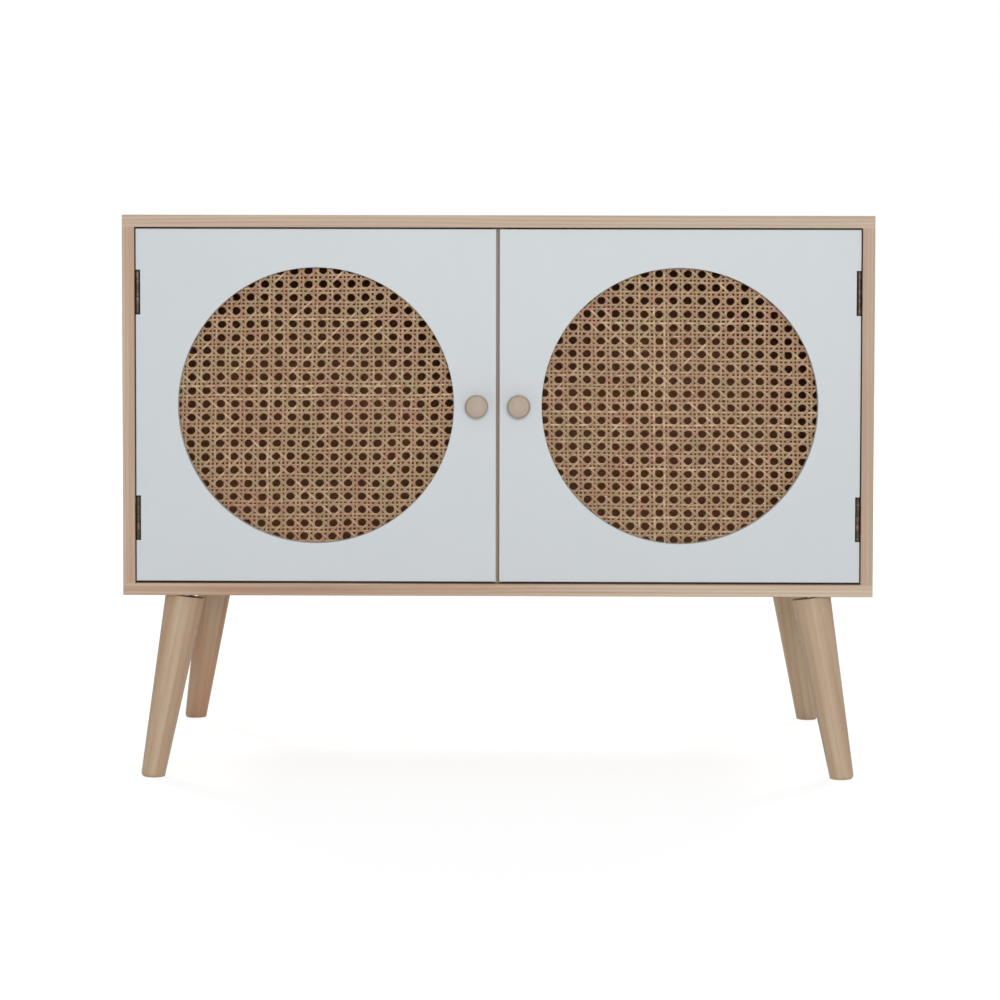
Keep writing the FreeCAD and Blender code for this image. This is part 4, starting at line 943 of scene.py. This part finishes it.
def flat_head(solid):
    """Centre, outward direction and radius of a screw's head, which is its largest flat end."""
    corners = [vertex.co for face in solid for vertex in face.verts]
    middle = sum(corners, Vector()) / len(corners)
    ends = {}
    for face in solid:
        if (face.calc_center_median() - middle).dot(face.normal) > 0:
            ends.setdefault(tuple(round(part, 2) + 0.0 for part in face.normal), []).append(face)
    end = max(ends.values(), key=lambda faces: sum(face.calc_area() for face in faces))
    area = sum(face.calc_area() for face in end)
    centre = sum((face.calc_center_median() * face.calc_area() for face in end), Vector()) / area
    return centre, end[0].normal.copy(), math.sqrt(area / math.pi)


def slots(heads, metal, quarter_turns):
    """One slot of the cross in every head."""
    bm = bmesh.new()
    for screw, (centre, outward, radius) in enumerate(heads):
        spin = math.radians(90.0 * quarter_turns + TURN_PER_SCREW * screw)
        size = (radius * metal.cross_reach, radius * metal.cross_width, radius * metal.cross_depth * 2)
        place = (Matrix.Translation(centre) @ outward.to_track_quat("Z", "Y").to_matrix().to_4x4()
                 @ Matrix.Rotation(spin, 4, "Z") @ Matrix.Diagonal((*size, 1.0)))
        bmesh.ops.create_cube(bm, size=1.0, matrix=place)
    return bm


def cross_screws(node, body, metal):
    """The screws of a CAD node with a cross recess cut in every head."""
    material = NODES[node].data.materials[0]
    bm = bmesh.new()
    bm.from_mesh(NODES[node].data)
    bmesh.ops.remove_doubles(bm, verts=bm.verts, dist=WELD)
    bm.faces.index_update()
    heads = [flat_head(solid) for solid in solids_of(bm)]
    piece = new_piece(f"{node}_crossed", bm, material)
    cutters = []
    for quarter_turns in (0, 1):
        cutter = new_piece("slots", slots(heads, metal, quarter_turns), material)
        cut = piece.modifiers.new("slots", "BOOLEAN")
        cut.operation = "DIFFERENCE"
        cut.object = cutter
        cutters.append(cutter)
    finished = piece.evaluated_get(bpy.context.evaluated_depsgraph_get())
    mesh = bpy.data.meshes.new_from_object(finished)
    piece.modifiers.clear()
    piece.data = mesh
    for cutter in cutters:
        bpy.data.objects.remove(cutter)
    mesh.shade_smooth()
    mesh.set_sharp_from_angle(angle=SHARP_EDGE)
    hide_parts(node)
    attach(piece, body)


class CABINET_OT_cut_screw_heads(bpy.types.Operator):
    """Cuts the cross recess in the heads of all screws"""

    bl_idname = "cabinet.cut_screw_heads"
    bl_label = "Cut the screw heads"

    def execute(self, context):
        metal = context.scene.record_cabinet.metal
        cross_screws("hinge_screws_frame", "case", metal)
        cross_screws("catch_screws", "case", metal)
        for side in SIDES:
            cross_screws(f"hinge_screws_door_{side}", f"{side}_door", metal)
            cross_screws(f"strike_screw_{side}", f"{side}_door", metal)
            cross_screws(f"knob_screw_{side}", f"{side}_door", metal)
        return {"FINISHED"}


# ---- Stage ---------------------------------------------------


CAMERA_PLACE = Vector((0.0372, -3.3542, 0.5675))
CAMERA_PITCH = math.radians(2.601)
CAMERA_YAW = math.radians(0.633)
CAMERA_ROLL = math.radians(0.109)
SENSOR_WIDTH = 36.0
FLOOR_SIZE = 16.0
FLOOR_GAP = 0.0001

# The floor's grey in the light that it casts back, its grey and glow where it is seen, and the
# distances between which its glow grows to that of the background.
FLOOR_COLOUR = 0.88
FLOOR_SHADE = 0.26
FLOOR_GLOW = 0.84
GLOW_GROWS = (2.0, 5.0)


def seen(tree):
    """1 for rays from the camera, and for those of mirror images and through glass, and 0 for others."""
    rays = shader_node(tree, "LightPath").outputs
    mirrored = calculate(tree, "MAXIMUM", rays["Is Glossy Ray"], rays["Is Transmission Ray"])
    return calculate(tree, "MAXIMUM", rays["Is Camera Ray"], mirrored)


def matt_grey(tree, value):
    return shader_node(tree, "BsdfDiffuse", {"Color": rgba((value, value, value))}).outputs[0]


def stage_floor():
    """A wide pale floor that shows white, and a little darker in the cabinet's shadow.

    It is clear from below, so that the underside can be looked at.
    """
    material = bpy.data.materials.new("stage_floor")
    material.use_nodes = True
    tree = material.node_tree
    tree.nodes.clear()
    place = separate(tree, shader_node(tree, "TexCoord").outputs["Object"])
    away = distance(tree, place["X"], place["Y"])
    glow = {"Color": WHITE, "Strength": step_between(tree, away, *GLOW_GROWS, FLOOR_GLOW, 1.0)}
    glowing = shader_node(tree, "Emission", glow).outputs[0]
    shown = shader_node(tree, "AddShader", {0: matt_grey(tree, FLOOR_SHADE), 1: glowing}).outputs[0]
    layers = {0: seen(tree), 1: matt_grey(tree, FLOOR_COLOUR), 2: shown}
    above = shader_node(tree, "MixShader", layers).outputs[0]
    below = shader_node(tree, "BsdfTransparent").outputs[0]
    from_below = shader_node(tree, "NewGeometry").outputs["Backfacing"]
    both = shader_node(tree, "MixShader", {0: from_below, 1: above, 2: below}).outputs[0]
    shader_node(tree, "OutputMaterial", {"Surface": both})
    bm = bmesh.new()
    bmesh.ops.create_grid(bm, x_segments=1, y_segments=1, size=FLOOR_SIZE / 2)
    bmesh.ops.translate(bm, verts=bm.verts, vec=(0.0, 0.0, -FLOOR_GAP))
    floor = new_piece("stage_floor", bm, material)


def stage_world(fill):
    """Even light from all round, and a white background where it is seen."""
    world = bpy.data.worlds.new("stage_world")
    bpy.context.scene.world = world
    world.use_nodes = True
    tree = world.node_tree
    tree.nodes.clear()
    light = shader_node(tree, "MapRange", {"Value": seen(tree), "To Min": fill, "To Max": 1.0})
    background = shader_node(tree, "Background", {"Color": WHITE, "Strength": light.outputs["Result"]})
    shader_node(tree, "OutputWorld", {"Surface": background.outputs[0]})


def stage_light(stage, name, watts, azimuth, elevation):
    """A large soft light that points at the middle of the cabinet, azimuth 0 being in front of it."""
    light = bpy.data.lights.new(name, "AREA")
    light.shape = "DISK"
    light.size = stage.key_size
    light.energy = watts
    lamp = bpy.data.objects.new(name, light)
    bpy.context.scene.collection.objects.link(lamp)
    low, high = CAD_BOX
    target = Vector((0.0, 0.0, (low.z + high.z) / 2))
    level = math.cos(elevation)
    away = Vector((math.sin(azimuth) * level, -math.cos(azimuth) * level, math.sin(elevation)))
    lamp.location = target + away * stage.key_distance
    lamp.rotation_euler = away.to_track_quat("Z", "Y").to_euler()


def stage_camera(stage):
    """The camera in front of the cabinet, just below the height of its top."""
    camera = bpy.data.cameras.new("camera")
    camera.lens = stage.lens
    camera.sensor_width = SENSOR_WIDTH
    camera.shift_y = stage.shift
    eye = bpy.data.objects.new("camera", camera)
    bpy.context.scene.collection.objects.link(eye)
    eye.location = CAMERA_PLACE
    yaw = Matrix.Rotation(CAMERA_YAW, 3, "Z")
    pitch = Euler((math.radians(90.0) - CAMERA_PITCH, 0.0, 0.0)).to_matrix()
    roll = Matrix.Rotation(CAMERA_ROLL, 3, "Z")
    eye.rotation_euler = (yaw @ pitch @ roll).to_euler()
    bpy.context.scene.camera = eye


class CABINET_OT_set_stage(bpy.types.Operator):
    """Sets the floor, the light and the camera"""

    bl_idname = "cabinet.set_stage"
    bl_label = "Set the stage"

    def execute(self, context):
        stage = context.scene.record_cabinet.stage
        stage_floor()
        stage_world(stage.fill)
        stage_light(stage, "key_light", stage.key_power, stage.key_azimuth, stage.key_elevation)
        for name, side in SIDES.items():
            stage_light(stage, f"rear_light_{name}", stage.rear_power, side * stage.rear_azimuth,
                        stage.rear_elevation)
        stage_camera(stage)
        context.scene.view_settings.view_transform = "Standard"
        return {"FINISHED"}


# ---- Panel and registration ----------------------------------


OPERATORS = (
    CABINET_OT_finish_case,
    CABINET_OT_paint_doors,
    CABINET_OT_weave_cane,
    CABINET_OT_finish_legs,
    CABINET_OT_finish_knobs,
    CABINET_OT_fit_hardware,
    CABINET_OT_cut_screw_heads,
    CABINET_OT_set_stage,
)


class CABINET_PT_panel(bpy.types.Panel):
    """Lists the cabinet's operators and settings"""

    bl_label = "Record Cabinet"
    bl_idname = "CABINET_PT_panel"
    bl_space_type = "VIEW_3D"
    bl_region_type = "UI"
    bl_category = "Cabinet"

    def draw(self, context):
        for operator in OPERATORS:
            self.layout.operator(operator.bl_idname)
        settings = context.scene.record_cabinet
        for group in (settings.pine, settings.paint, settings.cane, settings.metal, settings.stage):
            box = self.layout.box()
            for name in group.bl_rna.properties.keys():
                if name not in ("rna_type", "name"):
                    box.prop(group, name)


CLASSES = (PineSettings, PaintSettings, CaneSettings, MetalSettings, StageSettings, CabinetSettings,
           *OPERATORS, CABINET_PT_panel)


def register():
    for item in CLASSES:
        bpy.utils.register_class(item)
    bpy.types.Scene.record_cabinet = PointerProperty(type=CabinetSettings)


def unregister():
    del bpy.types.Scene.record_cabinet
    for item in reversed(CLASSES):
        bpy.utils.unregister_class(item)


def main():
    """Runs every operator."""
    register()
    for operator in OPERATORS:
        group, name = operator.bl_idname.split(".")
        getattr(getattr(bpy.ops, group), name)()


if __name__ == "__main__":
    main()
